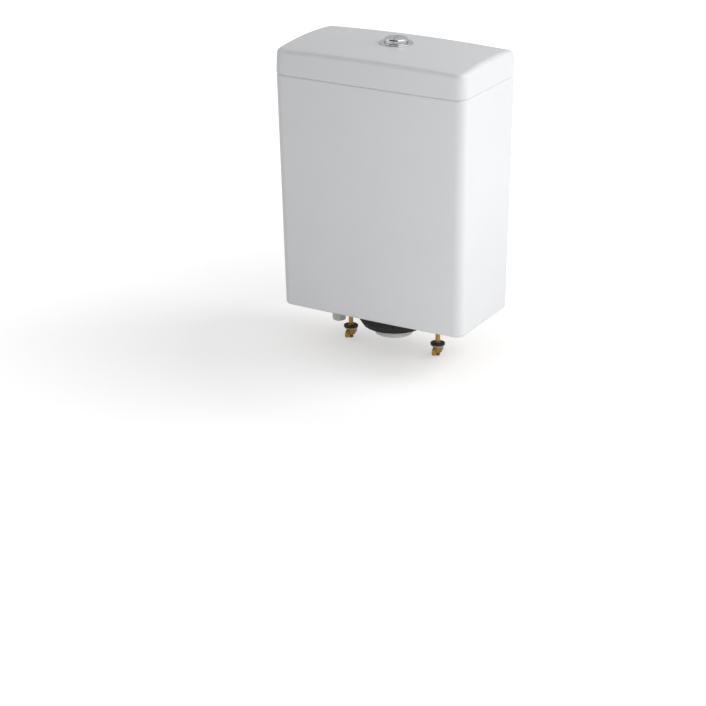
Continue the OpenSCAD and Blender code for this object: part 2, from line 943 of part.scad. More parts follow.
// Flanged hexagon nut under the floor
module inlet_backnut() {
  z0 = floor_under - backnut_t;
  color("whitesmoke")
    at_fill()
      difference() {
        union() {
          translate([0, 0, z0])
            cylinder(r = inlet_r + backnut_w, h = backnut_t, $fn = 6);
          rod(inlet_r + backnut_flange_w, floor_under - backnut_flange_t, floor_under);
        }
        rod(inlet_r + thread_gap, z0 - 1, floor_under + 1);
      }
}

// Slotted cup in the mouth of the tail
module inlet_strainer() {
  z0 = -inlet_tail + strainer_inset;
  r = mouth_r - thread_gap;
  color("khaki")
    at_fill()
      difference() {
        rod(r, z0, z0 + strainer_h);
        rod(r - strainer_wall, z0 - 1, z0 + strainer_h - strainer_cap_t);
        for (a = [0 : 45 : 135])
          rotate([0, 0, a])
            block(-r - 1, r + 1, -slot_w / 2, slot_w / 2, z0 + strainer_h / 4,
              z0 + strainer_h - 2 * strainer_cap_t);
      }
}

// Outer sleeve between the shank and the head
module riser_sleeve() {
  color("whitesmoke")
    at_fill()
      tube(riser_r, riser_r - riser_t, shank_z + shank_flange_t, head_z);
}

// Valve head with a side outlet
module fill_head() {
  z1 = head_z + head_h;
  color("whitesmoke")
    at_fill()
      difference() {
        union() {
          rod(head_r, head_z, z1);
          translate([0, 0, head_z + spout_z])
            across_y(spout_r, 0, head_r + spout_l);
        }
        rod(head_bore_r, head_z - 1, z1 - chamber_h);
        rod(head_r - head_lip_t, z1 - chamber_h, z1 + 1);
        translate([0, 0, head_z + spout_z])
          across_y(spout_r - spout_t, 0, head_r + spout_l + 1);
      }
}

// Rubber disc under the cap
module fill_diaphragm() {
  z0 = head_z + head_h - chamber_h;
  color("dimgray")
    at_fill()
      tube(head_r - head_lip_t - 0.2, 1, z0, z0 + diaphragm_t);
}

// Screw cap with the ears of the float lever and the pilot nozzle
module fill_cap() {
  z0 = head_z + head_h;
  color("lightgray")
    at_fill()
      difference() {
        union() {
          rod(head_r + 1, z0, fill_top);
          rod(head_r - head_lip_t - 0.2, z0 - chamber_h + diaphragm_t, z0 + 1);
          translate([0, nozzle_y, 0])
            rod(nozzle_r, fill_top - 1, fill_top + nozzle_h);
          for (s = [-1, 1])
            translate([s * float_ear_x, float_pivot_y, 0]) {
              block(-ear_t / 2, ear_t / 2, -ear_r, ear_r, fill_top - 1, float_pivot_z);
              translate([0, 0, float_pivot_z])
                across_x(ear_r, -ear_t / 2, ear_t / 2);
            }
        }
        translate([0, float_pivot_y, float_pivot_z])
          across_x(pin_r + slip, -float_ear_x - ear_t, float_ear_x + ear_t);
        for (a = [0 : 30 : 330])
          rotate([0, 0, a])
            translate([head_r + 1 + cap_grip_r / 2, 0, 0])
              rod(cap_grip_r, z0 - 1, fill_top + 1);
      }
}

// Upside-down ring cup around the riser
module float_cup() {
  ro = float_d / 2;
  ri = riser_r + float_play;
  w = float_wall;
  color("lightgray")
    at_fill()
      difference() {
        union() {
          rotate_extrude()
            polygon([[ri, float_z], [ri + w, float_z], [ri + w, float_top - w], [ro - w, float_top - w],
              [ro - w, float_z], [ro, float_z], [ro, float_top - float_round], [ro - float_round, float_top],
              [ri, float_top]]);
          translate([0, float_rod_y, 0])
            rod(socket_r, float_top - socket_d, float_top);
        }
        translate([0, float_rod_y, 0])
          rod(float_rod_r + slip, float_top - socket_d + w, float_top + 1);
      }
}

// Rod from the float to the lever, with a collar under the lever's knuckles
module float_rod() {
  collar_top = knuckle_z - knuckle_r - touch_gap;
  color("gainsboro")
    at_fill()
      translate([0, float_rod_y, 0]) {
        rod(float_rod_r, float_top - socket_d + float_wall + 1, knuckle_z + knuckle_r + rod_free);
        rod(rod_collar_r, collar_top - rod_collar_t, collar_top);
      }
}

// Thumb nut that sets the water level
module float_adjuster() {
  z0 = knuckle_z + knuckle_r + touch_gap;
  color("steelblue")
    at_fill()
      translate([0, float_rod_y, 0])
        difference() {
          union() {
            rod(rod_collar_r, z0, z0 + adjuster_h);
            rod(adjuster_r, z0 + 3 / 8 * adjuster_h, z0 + adjuster_h);
          }
          rod(float_rod_r + slip, z0 - 1, z0 + adjuster_h + 1);
        }
}

// Forked lever: its knuckles ride the float rod, its finger shuts the pilot nozzle
module float_lever() {
  color("steelblue")
    at_fill()
      translate([0, float_pivot_y, float_pivot_z])
        rotate([float_swing / 2, 0, 0])
          difference() {
            union() {
              for (s = [-1, 1])
                translate([s * knuckle_x, 0, 0]) {
                  translate([0, -float_arm, 0])
                    across_x(knuckle_r, -knuckle_t / 2, knuckle_t / 2);
                  block(-knuckle_t / 2, knuckle_t / 2, -float_arm, 0, -knuckle_t / 2, knuckle_t / 2);
                }
              across_x(ear_r, -hub_w / 2, hub_w / 2);
              block(-knuckle_t, knuckle_t, 0, finger_l, -1, nozzle_h);
            }
            across_x(pin_r + slip, -hub_w, hub_w);
          }
}

// Pin of the float lever
module float_pin() {
  end = float_ear_x + ear_t / 2;
  color("silver")
    at_fill()
      translate([0, float_pivot_y, float_pivot_z]) {
        across_x(pin_r, -end - 0.3, end + 0.3);
        across_x(pin_r + pin_head_t, end, end + pin_head_t);
      }
}

// Coupling kit

// Flat-headed bolts that hang through the floor, plain in the middle and threaded at the end
module coupling_bolts() {
  thread_top = wing_z + wing_h + bolt_free_thread;
  seal_top = floor_top + bolt_seal_t;
  head_top = seal_top + bolt_head_t;
  rib = bolt_head_r - 2;
  color("goldenrod")
    at_bolts() {
      rod(bolt_head_r, seal_top, head_top);
      block(-rib, rib, -bolt_rib_w / 2, bolt_rib_w / 2, head_top - 1, head_top + 1);
      rod(bolt_thread_r, floor_under - bolt_neck, seal_top + 1);
      rod(bolt_shank_r, thread_top - 1, floor_under - bolt_neck + 1);
      rod(bolt_thread_r, bolt_thread_end, thread_top);
    }
}

// Tapered rubber washers that seal the bolt holes
module bolt_seals() {
  ri = bolt_thread_r + slip;
  z0 = floor_under + bolt_seal_plug;
  color("dimgray")
    at_bolts()
      rotate_extrude()
        polygon([[ri, z0], [bolt_hole_r - 0.4, z0], [bolt_hole_r - 0.1, floor_top], [bolt_seal_r, floor_top],
          [bolt_seal_r - 2, floor_top + bolt_seal_t], [ri, floor_top + bolt_seal_t]]);
}

// Rubber washers above the steel ones
module pan_washers() {
  z0 = wing_z + wing_h + bolt_washer_t;
  color("dimgray")
    at_bolts()
      tube(pan_washer_r, bolt_thread_r + slip, z0, z0 + pan_washer_t);
}

// Steel washers under the rubber ones
module bolt_washers() {
  z0 = wing_z + wing_h;
  color("silver")
    at_bolts()
      tube(bolt_washer_r, bolt_thread_r + touch_gap, z0, z0 + bolt_washer_t);
}

// Wing nuts on the threaded ends
module wing_nuts() {
  color("goldenrod")
    at_bolts()
      difference() {
        union() {
          translate([0, 0, wing_z])
            cylinder(r1 = wing_hub_r, r2 = wing_top_r, h = wing_h);
          translate([-wing_t / 2, 0, wing_z])
            rotate([90, 0, 90])
              linear_extrude(wing_t)
                difference() {
                  union() {
                    for (s = [-1, 1])
                      translate([s * wing_reach, wing_r / 2])
                        circle(r = wing_r);
                    translate([-wing_reach, 0])
                      square([2 * wing_reach, wing_h - wing_t]);
                  }
                  translate([-3 * wing_reach, wing_h - 0.5])
                    square([6 * wing_reach, wing_h]);
                }
        }
        rod(bolt_thread_r + slip, wing_z - wing_r, wing_z + wing_h + 1);
      }
}

cistern_tank();
cistern_lid();
button_bezel();
bezel_washer();
bezel_locknut();
button_guide();
full_flush_button();
half_flush_button();
full_flush_rod();
half_flush_rod();
full_button_spring();
half_button_spring();
outlet_base();
outlet_gasket();
outlet_backnut();
doughnut_seal();
valve_tower();
overflow_tube();
lift_yoke();
seal_carrier();
seat_seal();
full_flush_lever();
lever_pin();
half_flush_trip();
half_flush_float();
inlet_shank();
inlet_washer();
inlet_backnut();
inlet_strainer();
riser_sleeve();
fill_head();
fill_diaphragm();
fill_cap();
float_cup();
float_rod();
float_adjuster();
float_lever();
float_pin();
coupling_bolts();
bolt_seals();
pan_washers();
bolt_washers();
wing_nuts();
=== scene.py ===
# A close-coupled cistern: glazed tank and lid, chromed dual-flush button, flush valve, fill valve and
# coupling kit. Sizes are in millimetres until a piece is made. Every finished piece is in metres, in the
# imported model's frame.
import math

import bmesh
import bpy
from mathutils import Matrix, Vector


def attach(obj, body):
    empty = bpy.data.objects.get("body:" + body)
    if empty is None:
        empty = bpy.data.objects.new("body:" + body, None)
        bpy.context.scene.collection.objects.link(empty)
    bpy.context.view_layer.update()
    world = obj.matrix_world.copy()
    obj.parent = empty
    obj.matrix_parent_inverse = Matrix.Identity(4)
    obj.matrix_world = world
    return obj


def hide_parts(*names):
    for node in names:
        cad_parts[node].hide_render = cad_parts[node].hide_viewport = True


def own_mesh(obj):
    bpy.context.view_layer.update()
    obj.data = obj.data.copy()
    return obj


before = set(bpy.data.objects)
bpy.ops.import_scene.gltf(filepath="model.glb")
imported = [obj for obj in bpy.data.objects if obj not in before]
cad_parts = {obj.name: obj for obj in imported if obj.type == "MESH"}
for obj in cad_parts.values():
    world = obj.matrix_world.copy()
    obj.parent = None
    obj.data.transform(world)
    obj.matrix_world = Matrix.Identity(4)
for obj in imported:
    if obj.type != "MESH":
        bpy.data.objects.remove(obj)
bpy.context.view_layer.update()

# Tank
# Vitreous china, slip-cast in one piece: an open box that leans in towards its foot, with a slightly bowed
# front. It is glazed all over but for the foot and the hollow inside it, which stand on the kiln shelf. The
# holes for the outlet, inlet, bolts and wall screws are cut in the clay and rounded with a wet sponge.
tank_w, tank_d, rim_z, wall_y = 310, 166, 360, 76
side_lean, front_lean, front_bow = 4.5, 13, 2
wall_t, floor_z, under_z, floor_r = 10, 15, 3, 6
corner_r, rear_r, edge_r, rim_r, foot_w = 14, 4, 4, 3, 14
inner_r, inner_r_min, hollow_r, foot_r = 8, 6, 1.2, 1
outer_heights = (6, 20, 80, 140, 200, 260, 320, 350, 357)
inner_heights = (356, 300, 200, 100, 40, 24)
outlet_hole_r, bolt_hole_r, inlet_hole_r, screw_hole_r = 31.8, 6, 11.675, 4.5
mouth_r, small_mouth_r, cutter_spare = 1.5, 1, 2
bolt_x, inlet_x, inlet_y, screw_x, screw_z = 75, -106, 18, 95, 300

# Sine and cosine at the steps of a quarter turn, for every round on the china.
ROUND = [(math.sin(a), math.cos(a)) for a in (math.radians(d) for d in range(0, 91, 18))]

# A turned corner that bends less than this, in radians, isn't eased, and easing takes this share of a side.
straight_bend, ease_share = 0.15, 0.42

# Points nearer than this, in millimetres, are welded, and slivers under this, in metres, are dissolved.
weld, sliver = 0.0005, 0.000001
sharp_angle = math.radians(34)


def linear(colour):
    """An sRGB hex colour as the linear values that a shader takes."""
    parts = [int(colour[i:i + 2], 16) / 255 for i in (1, 3, 5)]
    return [c / 12.92 if c <= 0.04045 else ((c + 0.055) / 1.055) ** 2.4 for c in parts] + [1.0]


def add(tree, kind, sockets=None, **settings):
    """Adds a node to a tree, with its settings, and a link or a value for each socket named."""
    node = tree.nodes.new(kind)
    for key, value in settings.items():
        setattr(node, key, value)
    for key, value in (sockets or {}).items():
        if isinstance(value, bpy.types.NodeSocket):
            tree.links.new(value, node.inputs[key])
        else:
            node.inputs[key].default_value = value
    return node


def new_finish(name):
    """An empty material and the place on the piece that its patterns read."""
    material = bpy.data.materials.new(name)
    material.use_nodes = True
    material.node_tree.nodes.clear()
    return material, material.node_tree, add(material.node_tree, "ShaderNodeTexCoord").outputs["Object"]


def noise(tree, spot, size, detail):
    """Noise in clouds about size millimetres across."""
    sockets = {"Vector": spot, "Scale": 1000 / size, "Detail": detail}
    return add(tree, "ShaderNodeTexNoise", sockets).outputs[0]


def blended(tree, share, first, second):
    """A colour that a share takes from one sRGB hex colour to another."""
    sockets = {0: share, 6: linear(first), 7: linear(second)}
    return add(tree, "ShaderNodeMix", sockets, data_type="RGBA").outputs[2]


def ranged(tree, value, low, high):
    """A value between 0 and 1 taken to the range from low to high."""
    return add(tree, "ShaderNodeMapRange", {"Value": value, "To Min": low, "To Max": high}).outputs[0]


def bumped(tree, height, strength, depth):
    """Normals for a relief that is depth millimetres deep."""
    sockets = {"Height": height, "Strength": strength, "Distance": depth / 1000}
    return add(tree, "ShaderNodeBump", sockets).outputs[0]


def coat(tree, colour, roughness, **more):
    """Ends a material in a surface with a colour, a roughness and what else is named."""
    sockets = {"Base Color": colour, "Roughness": roughness, **more}
    look = add(tree, "ShaderNodeBsdfPrincipled", sockets)
    add(tree, "ShaderNodeOutputMaterial", {"Surface": look.outputs[0]})


def china_plan(width, front, rear, front_r, rear_r, bow):
    """Plan outline of the china, anticlockwise from the rear right, with points close together at the ends
    of each line."""
    half = width / 2
    lean = math.atan(2 * bow * (half - front_r) / half ** 2)
    end_x = half - front_r + front_r * math.sin(lean)
    mid_y = front + bow * (end_x / half) ** 2 + front_r * math.cos(lean)
    rear_x, side_y = half - rear_r, rear - rear_r
    along = [0, 0.006, 0.02] + [i / 24 for i in range(1, 24)] + [0.98, 0.994]
    across = [0, 0.012, 0.04] + [i / 12 for i in range(1, 12)] + [0.96, 0.988]

    def arc(x, y, r, start, end, steps):
        turns = [start + (end - start) * i / steps for i in range(steps)]
        return [(x + r * math.cos(a), y + r * math.sin(a)) for a in turns]

    return (
        [(rear_x - 2 * rear_x * t, rear) for t in along]
        + arc(-rear_x, side_y, rear_r, math.pi / 2, math.pi, 6)
        + [(-half, side_y + (mid_y - side_y) * t) for t in across]
        + arc(front_r - half, mid_y, front_r, math.pi, 1.5 * math.pi - lean, 10)
        + [(x, front + bow * (x / half) ** 2) for x in (end_x * (2 * t - 1) for t in along)]
        + arc(half - front_r, mid_y, front_r, 1.5 * math.pi + lean, 2 * math.pi, 10)
        + [(half, mid_y + (side_y - mid_y) * t) for t in across]
        + arc(rear_x, side_y, rear_r, 0, math.pi / 2, 6)
    )


def skin(rings, looped=False, bare=()):
    """A closed shell over rings of equal length, flat at both ends or joined end to start. Bare rings take
    the second finish."""
    n, last = len(rings[0]), len(rings) - 1
    pairs = [(k, k + 1) for k in range(last)] + ([(last, 0)] if looped else [])
    faces = [(a * n + i, a * n + (i + 1) % n, b * n + (i + 1) % n, b * n + i)
             for a, b in pairs for i in range(n)]
    finishes = [int(a in bare) for a, b in pairs for i in range(n)]
    if not looped:
        faces += [tuple(range(n)), tuple(range(last * n, last * n + n))]
        finishes += [int(0 in bare), int(last in bare)]
    return [p for ring in rings for p in ring], faces, finishes


def turned(profile, soft=0.4, sides=72, place=(0, 0, 0)):
    """A closed shell turned round Z from (radius, height) corners, each eased by soft or by its own third
    number. A profile that starts and ends on the axis gives a solid, any other a ring."""
    solid, line = profile[0][0] == 0, []
    for i, corner in enumerate(profile):
        p = Vector(corner[:2])
        back = Vector(profile[i - 1][:2]) - p
        ahead = Vector(profile[(i + 1) % len(profile)][:2]) - p
        ease = corner[2] if len(corner) > 2 else soft
        on_axis = solid and i in (0, len(profile) - 1)
        if ease == 0 or on_axis or math.pi - back.angle(ahead) < straight_bend:
            line.append(p)
            continue
        cut = min(ease / math.tan(back.angle(ahead) / 2), ease_share * back.length, ease_share * ahead.length)
        start, end = p + back.normalized() * cut, p + ahead.normalized() * cut
        line += [start * (1 - t) ** 2 + p * (2 * t * (1 - t)) + end * t ** 2 for t in (0, 0.25, 0.5, 0.75, 1)]
    m = len(line)
    turns = [2 * math.pi * k / sides for k in range(sides)]
    points = [(place[0] + r * math.cos(a), place[1] + r * math.sin(a), place[2] + z)
              for a in turns for r, z in line]
    steps = range(m - 1 if solid else m)
    faces = [(k * m + i, (k + 1) % sides * m + i, (k + 1) % sides * m + (i + 1) % m, k * m + (i + 1) % m)
             for k in range(sides) for i in steps]
    return points, faces


def piece(name, shells, *finishes, cuts=()):
    """Joins closed shells into one piece in metres, takes its cuts out and shades its flat faces flat."""
    def joined(label, parts):
        whole = bmesh.new()
        for part in parts:
            one = bmesh.new()
            if isinstance(part, bpy.types.Mesh):
                one.from_mesh(part)
            else:
                corners = [one.verts.new(p) for p in part[0]]
                for i, face in enumerate(part[1]):
                    made = one.faces.new([corners[k] for k in face])
                    made.material_index = part[2][i] if len(part) > 2 else 0
            bmesh.ops.remove_doubles(one, verts=one.verts, dist=weld)
            bmesh.ops.recalc_face_normals(one, faces=one.faces)
            shell = bpy.data.meshes.new("shell")
            one.to_mesh(shell)
            one.free()
            whole.from_mesh(shell)
            bpy.data.meshes.remove(shell)
        bmesh.ops.scale(whole, vec=(0.001, 0.001, 0.001), verts=whole.verts)
        mesh = bpy.data.meshes.new(label)
        whole.to_mesh(mesh)
        whole.free()
        for finish in finishes:
            mesh.materials.append(finish)
        made = bpy.data.objects.new(label, mesh)
        bpy.context.scene.collection.objects.link(made)
        return made

    def settle(obj):
        bpy.context.view_layer.update()
        mesh = bpy.data.meshes.new_from_object(obj.evaluated_get(bpy.context.evaluated_depsgraph_get()))
        obj.modifiers.clear()
        obj.data = mesh
        mesh.name = name

    obj = joined(name, shells)
    if cuts:
        cutter = joined(name + "_cutter", cuts)
        hole = obj.modifiers.new("holes", "BOOLEAN")
        hole.operation, hole.solver, hole.object = "DIFFERENCE", "EXACT", cutter
        settle(obj)
        bpy.data.objects.remove(cutter)
        clean = bmesh.new()
        clean.from_mesh(obj.data)
        bmesh.ops.dissolve_degenerate(clean, dist=sliver, edges=clean.edges)
        clean.to_mesh(obj.data)
        clean.free()
    obj.data.polygons.foreach_set("use_smooth", [True] * len(obj.data.polygons))
    obj.data.set_sharp_from_angle(angle=sharp_angle)
    obj.modifiers.new("flat faces", "WEIGHTED_NORMAL").keep_sharp = True
    settle(obj)
    return obj


def fit(obj, node, body):
    """Puts a finished piece on its body in place of its CAD node."""
    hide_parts(node)
    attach(obj, body)


# Vitreous china under a clear glaze: a wet, faintly cool white. The poured glaze settles in slow waves about
# 14 mm apart that bend its reflections, and its gloss wanders a little from spot to spot.
glaze, t, spot = new_finish("glazed_vitreous_china")
tint = blended(t, noise(t, spot, 90, 2), "#EFF0F2", "#F3F4F6")
gloss = ranged(t, noise(t, spot, 4, 3), 0.1, 0.18)
coat(t, tint, gloss, IOR=1.52, Normal=bumped(t, noise(t, spot, 14, 1), 0.25, 0.2))

# Unglazed china where the glaze was wiped off: chalky, warmer than the glaze, with a 0.8 mm sandy grain and
# a few brown kiln specks about 6 mm apart.
bisque, t, spot = new_finish("unglazed_vitreous_china")
grain = noise(t, spot, 0.8, 4)
tint = blended(t, grain, "#D9D2C4", "#EAE5DA")
fleck = add(t, "ShaderNodeTexVoronoi", {"Vector": spot, "Scale": 1000 / 6}).outputs["Distance"]
speck = add(t, "ShaderNodeMapRange", {"Value": fleck, "From Min": 0.04, "From Max": 0.09,
                                      "To Min": 0.55, "To Max": 0}).outputs[0]
flecked = add(t, "ShaderNodeMix", {0: speck, 6: tint, 7: linear("#9A8568")}, data_type="RGBA")
coat(t, flecked.outputs[2], 0.85, Normal=bumped(t, grain, 0.4, 0.2))


def tank_ring(z, inset, wall=0, rear_inset=0):
    """The tank's outline at a height, set in by an inset and, inside, by the wall."""
    lean, deep = 1 - z / rim_z, inset + wall
    width = tank_w - 2 * side_lean * lean - 2 * deep
    front = wall_y - tank_d + front_lean * lean + deep
    outline = china_plan(width, front, wall_y - rear_inset - wall, max(corner_r - deep, inner_r_min),
                         inner_r if wall else rear_r, front_bow)
    return [(x, y, z) for x, y in outline]


def foot_ring(z, out):
    """The edge of the hollow inside the foot, moved out into the foot."""
    width = tank_w - 2 * side_lean - 2 * foot_w + 2 * out
    front = wall_y - tank_d + front_lean + foot_w - out
    outline = china_plan(width, front, wall_y - foot_w + out, inner_r + out, inner_r + out, front_bow)
    return [(x, y, z) for x, y in outline]


def drilled(r, low, high, place=(0, 0, 0), ease=mouth_r):
    """Cutter for a hole through china, with the wet-sponged round at both of its mouths."""
    mouth = [(r + ease * (1 - s), ease * (1 - c)) for s, c in ROUND]
    wide = [(0, low - cutter_spare, 0), (r + ease, low - cutter_spare, 0)]
    wide += [(x, low + z, 0) for x, z in mouth]
    wide += [(x, high - z, 0) for x, z in reversed(mouth)]
    wide += [(r + ease, high + cutter_spare, 0), (0, high + cutter_spare, 0)]
    return turned(wide, place=place)


# The rings run from the hollow of the foot, round the outside and over the rim, to the floor inside. The
# glaze starts on the round of the foot's outer edge, at the fourth ring from its end.
rings = [foot_ring(under_z - hollow_r * (1 - c), -hollow_r * (1 - s)) for s, c in ROUND]
rings += [foot_ring(foot_r * (1 - s), foot_r * (1 - c)) for s, c in ROUND]
rings += [tank_ring(edge_r * (1 - c), edge_r * (1 - s), 0, edge_r * (1 - s)) for s, c in ROUND]
bare_rings = range(len(rings) - 4)
rings += [tank_ring(z, 0) for z in outer_heights]
rings += [tank_ring(rim_z - rim_r + rim_r * s, rim_r * (1 - c), 0, rim_r * (1 - c)) for s, c in ROUND]
rings += [tank_ring(rim_z - rim_r + rim_r * c, -rim_r * (1 - s), wall_t, -rim_r * (1 - s)) for s, c in ROUND]
rings += [tank_ring(z, 0, wall_t) for z in inner_heights]
rings += [tank_ring(floor_z + floor_r * (1 - s), floor_r * (1 - c), wall_t, floor_r * (1 - c))
          for s, c in ROUND]
cut_points, cut_faces = drilled(screw_hole_r, wall_y - wall_t, wall_y)
holes = [([(x + side * screw_x, z, screw_z - y) for x, y, z in cut_points], cut_faces) for side in (-1, 1)]
holes.append(drilled(outlet_hole_r, under_z, floor_z))
for x, y, r in ((inlet_x, inlet_y, inlet_hole_r), (-bolt_x, 0, bolt_hole_r), (bolt_x, 0, bolt_hole_r)):
    holes.append(drilled(r, under_z, floor_z, (x, y, 0), small_mouth_r))
tank = piece("china_tank", [skin(rings, bare=bare_rings)], glaze, bisque, cuts=holes)
fit(tank, "cistern_tank", "cistern")

# Outlet
# The outlet base is a polypropylene moulding: a threaded tail, a flange, a raised valve seat and an open
# cage of six ribs. It goes down through the floor on a flat rubber gasket and a big lugged nut holds it from
# below. A ring of sponge rubber round the nut seals the joint underneath.
tail_r, tail_bore, tail_low, tail_depth, tail_pitch = 29.8, 25, -42, 1.0, 2.309
flange_r, flange_z, flange_top, seat_r, seat_z = 44, 18, 22, 28.5, 26
cage_r, cage_z, cage_top, hoop_z, hoop_bore, hoop_r = 38.4, 18, 70, 64, 37, 40
tail_thread_low, tail_thread_len, gasket_bore, gasket_r = -40.2, 54.0, 30, 43
nut_bore, nut_r, nut_low, lug_r = 29.9, 35.8, -9, 36.3
doughnut_bore, doughnut_r, doughnut_low = 39.8, 54.8, -28


def moulded(name, pale, deep, shine):
    """Injection-moulded plastic: colour that pools a little over 25 mm, and the mould's 0.5 mm grain."""
    material, tree, spot = new_finish(name)
    tint = blended(tree, noise(tree, spot, 25, 2), pale, deep)
    grit = noise(tree, spot, 0.5, 2)
    dull = ranged(tree, grit, shine - 0.06, shine + 0.08)
    coat(tree, tint, dull, IOR=1.49, Normal=bumped(tree, grit, 0.15, 0.05))
    return material


# Natural white polypropylene: milky, a touch warm, satin from the mould.
white_plastic = moulded("moulded_white_polypropylene", "#E9E9E4", "#F1F1ED", 0.36)

# Black nitrile rubber: almost black, with a pale sulphur bloom in 8 mm patches and a fine 0.4 mm grain.
rubber, t, spot = new_finish("black_nitrile_rubber")
bloom = noise(t, spot, 8, 4)
tint = blended(t, bloom, "#1B1B1C", "#343436")
coat(t, tint, ranged(t, bloom, 0.5, 0.8), Normal=bumped(t, noise(t, spot, 0.4, 2), 0.3, 0.1))

# Sponge rubber: charcoal, matt, its skin pitted with closed cells about 1.6 mm across. The colour is painted
# darker down into each pit: painted shade.
sponge, t, spot = new_finish("black_sponge_rubber")
cells = add(t, "ShaderNodeTexVoronoi", {"Vector": spot, "Scale": 1000 / 1.6}, feature="SMOOTH_F1")
pit_depth_and_shade = cells.outputs["Distance"]
# The pit depth also sets the colour, darker towards each pit's bottom: painted shade in the pits.
coat(t, blended(t, pit_depth_and_shade, "#1A1A1B", "#3B3B3D"), 0.88, Normal=bumped(t, pit_depth_and_shade, 0.6, 0.4))


def new_tree(name, **sockets):
    """An empty geometry tree with an input for each socket named, and what those inputs give."""
    tree = bpy.data.node_groups.new(name, "GeometryNodeTree")
    for label, kind in sockets.items():
        tree.interface.new_socket(label, in_out="INPUT", socket_type="NodeSocket" + kind)
    tree.interface.new_socket("Geometry", in_out="OUTPUT", socket_type="NodeSocketGeometry")
    return tree, add(tree, "NodeGroupInput").outputs


def end_tree(tree, shape, finish):
    """Ends a geometry tree in a real mesh with its material."""
    real = add(tree, "GeometryNodeRealizeInstances", {"Geometry": shape.outputs[0]})
    finished = add(tree, "GeometryNodeSetMaterial", {"Geometry": real.outputs[0], "Material": finish})
    add(tree, "NodeGroupOutput", {"Geometry": finished.outputs[0]})


# One tree winds threads and coils: a section swept along a helix.
helix, size = new_tree("wound_helix", Radius="Float", Section="Float", Sides="Int", Pitch="Float",
                       Height="Float", Place="Vector", Material="Material")
winds = add(helix, "ShaderNodeMath", {0: size["Height"], 1: size["Pitch"]}, operation="DIVIDE")
path = add(helix, "GeometryNodeCurveSpiral", {
    "Resolution": 48, "Rotations": winds.outputs[0], "Height": size["Height"],
    "Start Radius": size["Radius"], "End Radius": size["Radius"], "Reverse": True})
upright = add(helix, "GeometryNodeSetCurveNormal", {"Curve": path.outputs[0]}, mode="Z_UP")
section = add(helix, "GeometryNodeCurvePrimitiveCircle", {
    "Resolution": size["Sides"], "Radius": size["Section"]})
swept = add(helix, "GeometryNodeCurveToMesh", {
    "Curve": upright.outputs[0], "Profile Curve": section.outputs[0], "Fill Caps": True})
moved = add(helix, "GeometryNodeTransform", {"Geometry": swept.outputs[0], "Translation": size["Place"]})
end_tree(helix, moved, size["Material"])

# One tree sets ribs, lugs and knurls round a ring: a block on each point, its length along the radius.
ribs, size = new_tree("ribs_round_a_ring", Count="Int", Radius="Float", Size="Vector", Turn="Float",
                      Place="Vector", Material="Material")
ring = add(ribs, "GeometryNodeMeshCircle", {"Vertices": size["Count"], "Radius": size["Radius"]})
share = add(ribs, "ShaderNodeMath", {0: 2 * math.pi, 1: size["Count"]}, operation="DIVIDE")
index = add(ribs, "GeometryNodeInputIndex")
angle = add(ribs, "ShaderNodeMath", {0: index.outputs[0], 1: share.outputs[0]}, operation="MULTIPLY")
facing = add(ribs, "ShaderNodeCombineXYZ", {"Z": angle.outputs[0]})
aimed = add(ribs, "FunctionNodeEulerToRotation", {0: facing.outputs[0]})
rib = add(ribs, "GeometryNodeMeshCube", {"Size": size["Size"]})
placed = add(ribs, "GeometryNodeInstanceOnPoints", {
    "Points": ring.outputs[0], "Instance": rib.outputs[0], "Rotation": aimed.outputs[0]})
spun = add(ribs, "ShaderNodeCombineXYZ", {"Z": size["Turn"]})
swung = add(ribs, "FunctionNodeEulerToRotation", {0: spun.outputs[0]})
moved = add(ribs, "GeometryNodeTransform", {
    "Geometry": placed.outputs[0], "Translation": size["Place"], "Rotation": swung.outputs[0]})
end_tree(ribs, moved, size["Material"])


def eased_mesh(shape, edges, soft, segments, label):
    """Turns a bmesh into a mesh with some edges eased by soft."""
    bmesh.ops.bevel(shape, geom=edges, offset=soft, segments=segments, profile=0.5, affect="EDGES",
                    clamp_overlap=True)
    mesh = bpy.data.meshes.new(label)
    shape.to_mesh(mesh)
    shape.free()
    return mesh


def grown(tree, soft=0, **sizes):
    """Runs a geometry tree and gives its result back as a plain mesh, its edges eased by soft."""
    holder = bpy.data.objects.new("holder", bpy.data.meshes.new("holder"))
    bpy.context.scene.collection.objects.link(holder)
    run = holder.modifiers.new("grow", "NODES")
    run.node_group = tree
    known = {s.name: s.identifier for s in tree.interface.items_tree if s.in_out == "INPUT"}
    for label, value in sizes.items():
        run[known[label]] = value
    bpy.context.view_layer.update()
    mesh = bpy.data.meshes.new_from_object(holder.evaluated_get(bpy.context.evaluated_depsgraph_get()))
    bpy.data.objects.remove(holder)
    if soft:
        shape = bmesh.new()
        shape.from_mesh(mesh)
        mesh = eased_mesh(shape, shape.edges[:], soft, 3, "grown")
    return mesh


def thread(core, depth, pitch, low, length, finish, place=(0, 0)):
    """A screw thread with a four-sided section, wound up a core from a height."""
    return grown(helix, Radius=core, Section=depth, Sides=4, Pitch=pitch, Height=length,
                 Place=(*place, low), Material=finish)


def band(bore, r, low, high, ease=0.4):
    """Profile of a flat ring, with its outer corners eased."""
    return [(bore, low), (r, low, ease), (r, high, ease), (bore, high)]


gasket = piece("outlet_flat_gasket", [turned(band(gasket_bore, gasket_r, floor_z, flange_z))], rubber)
fit(gasket, "outlet_gasket", "cistern")

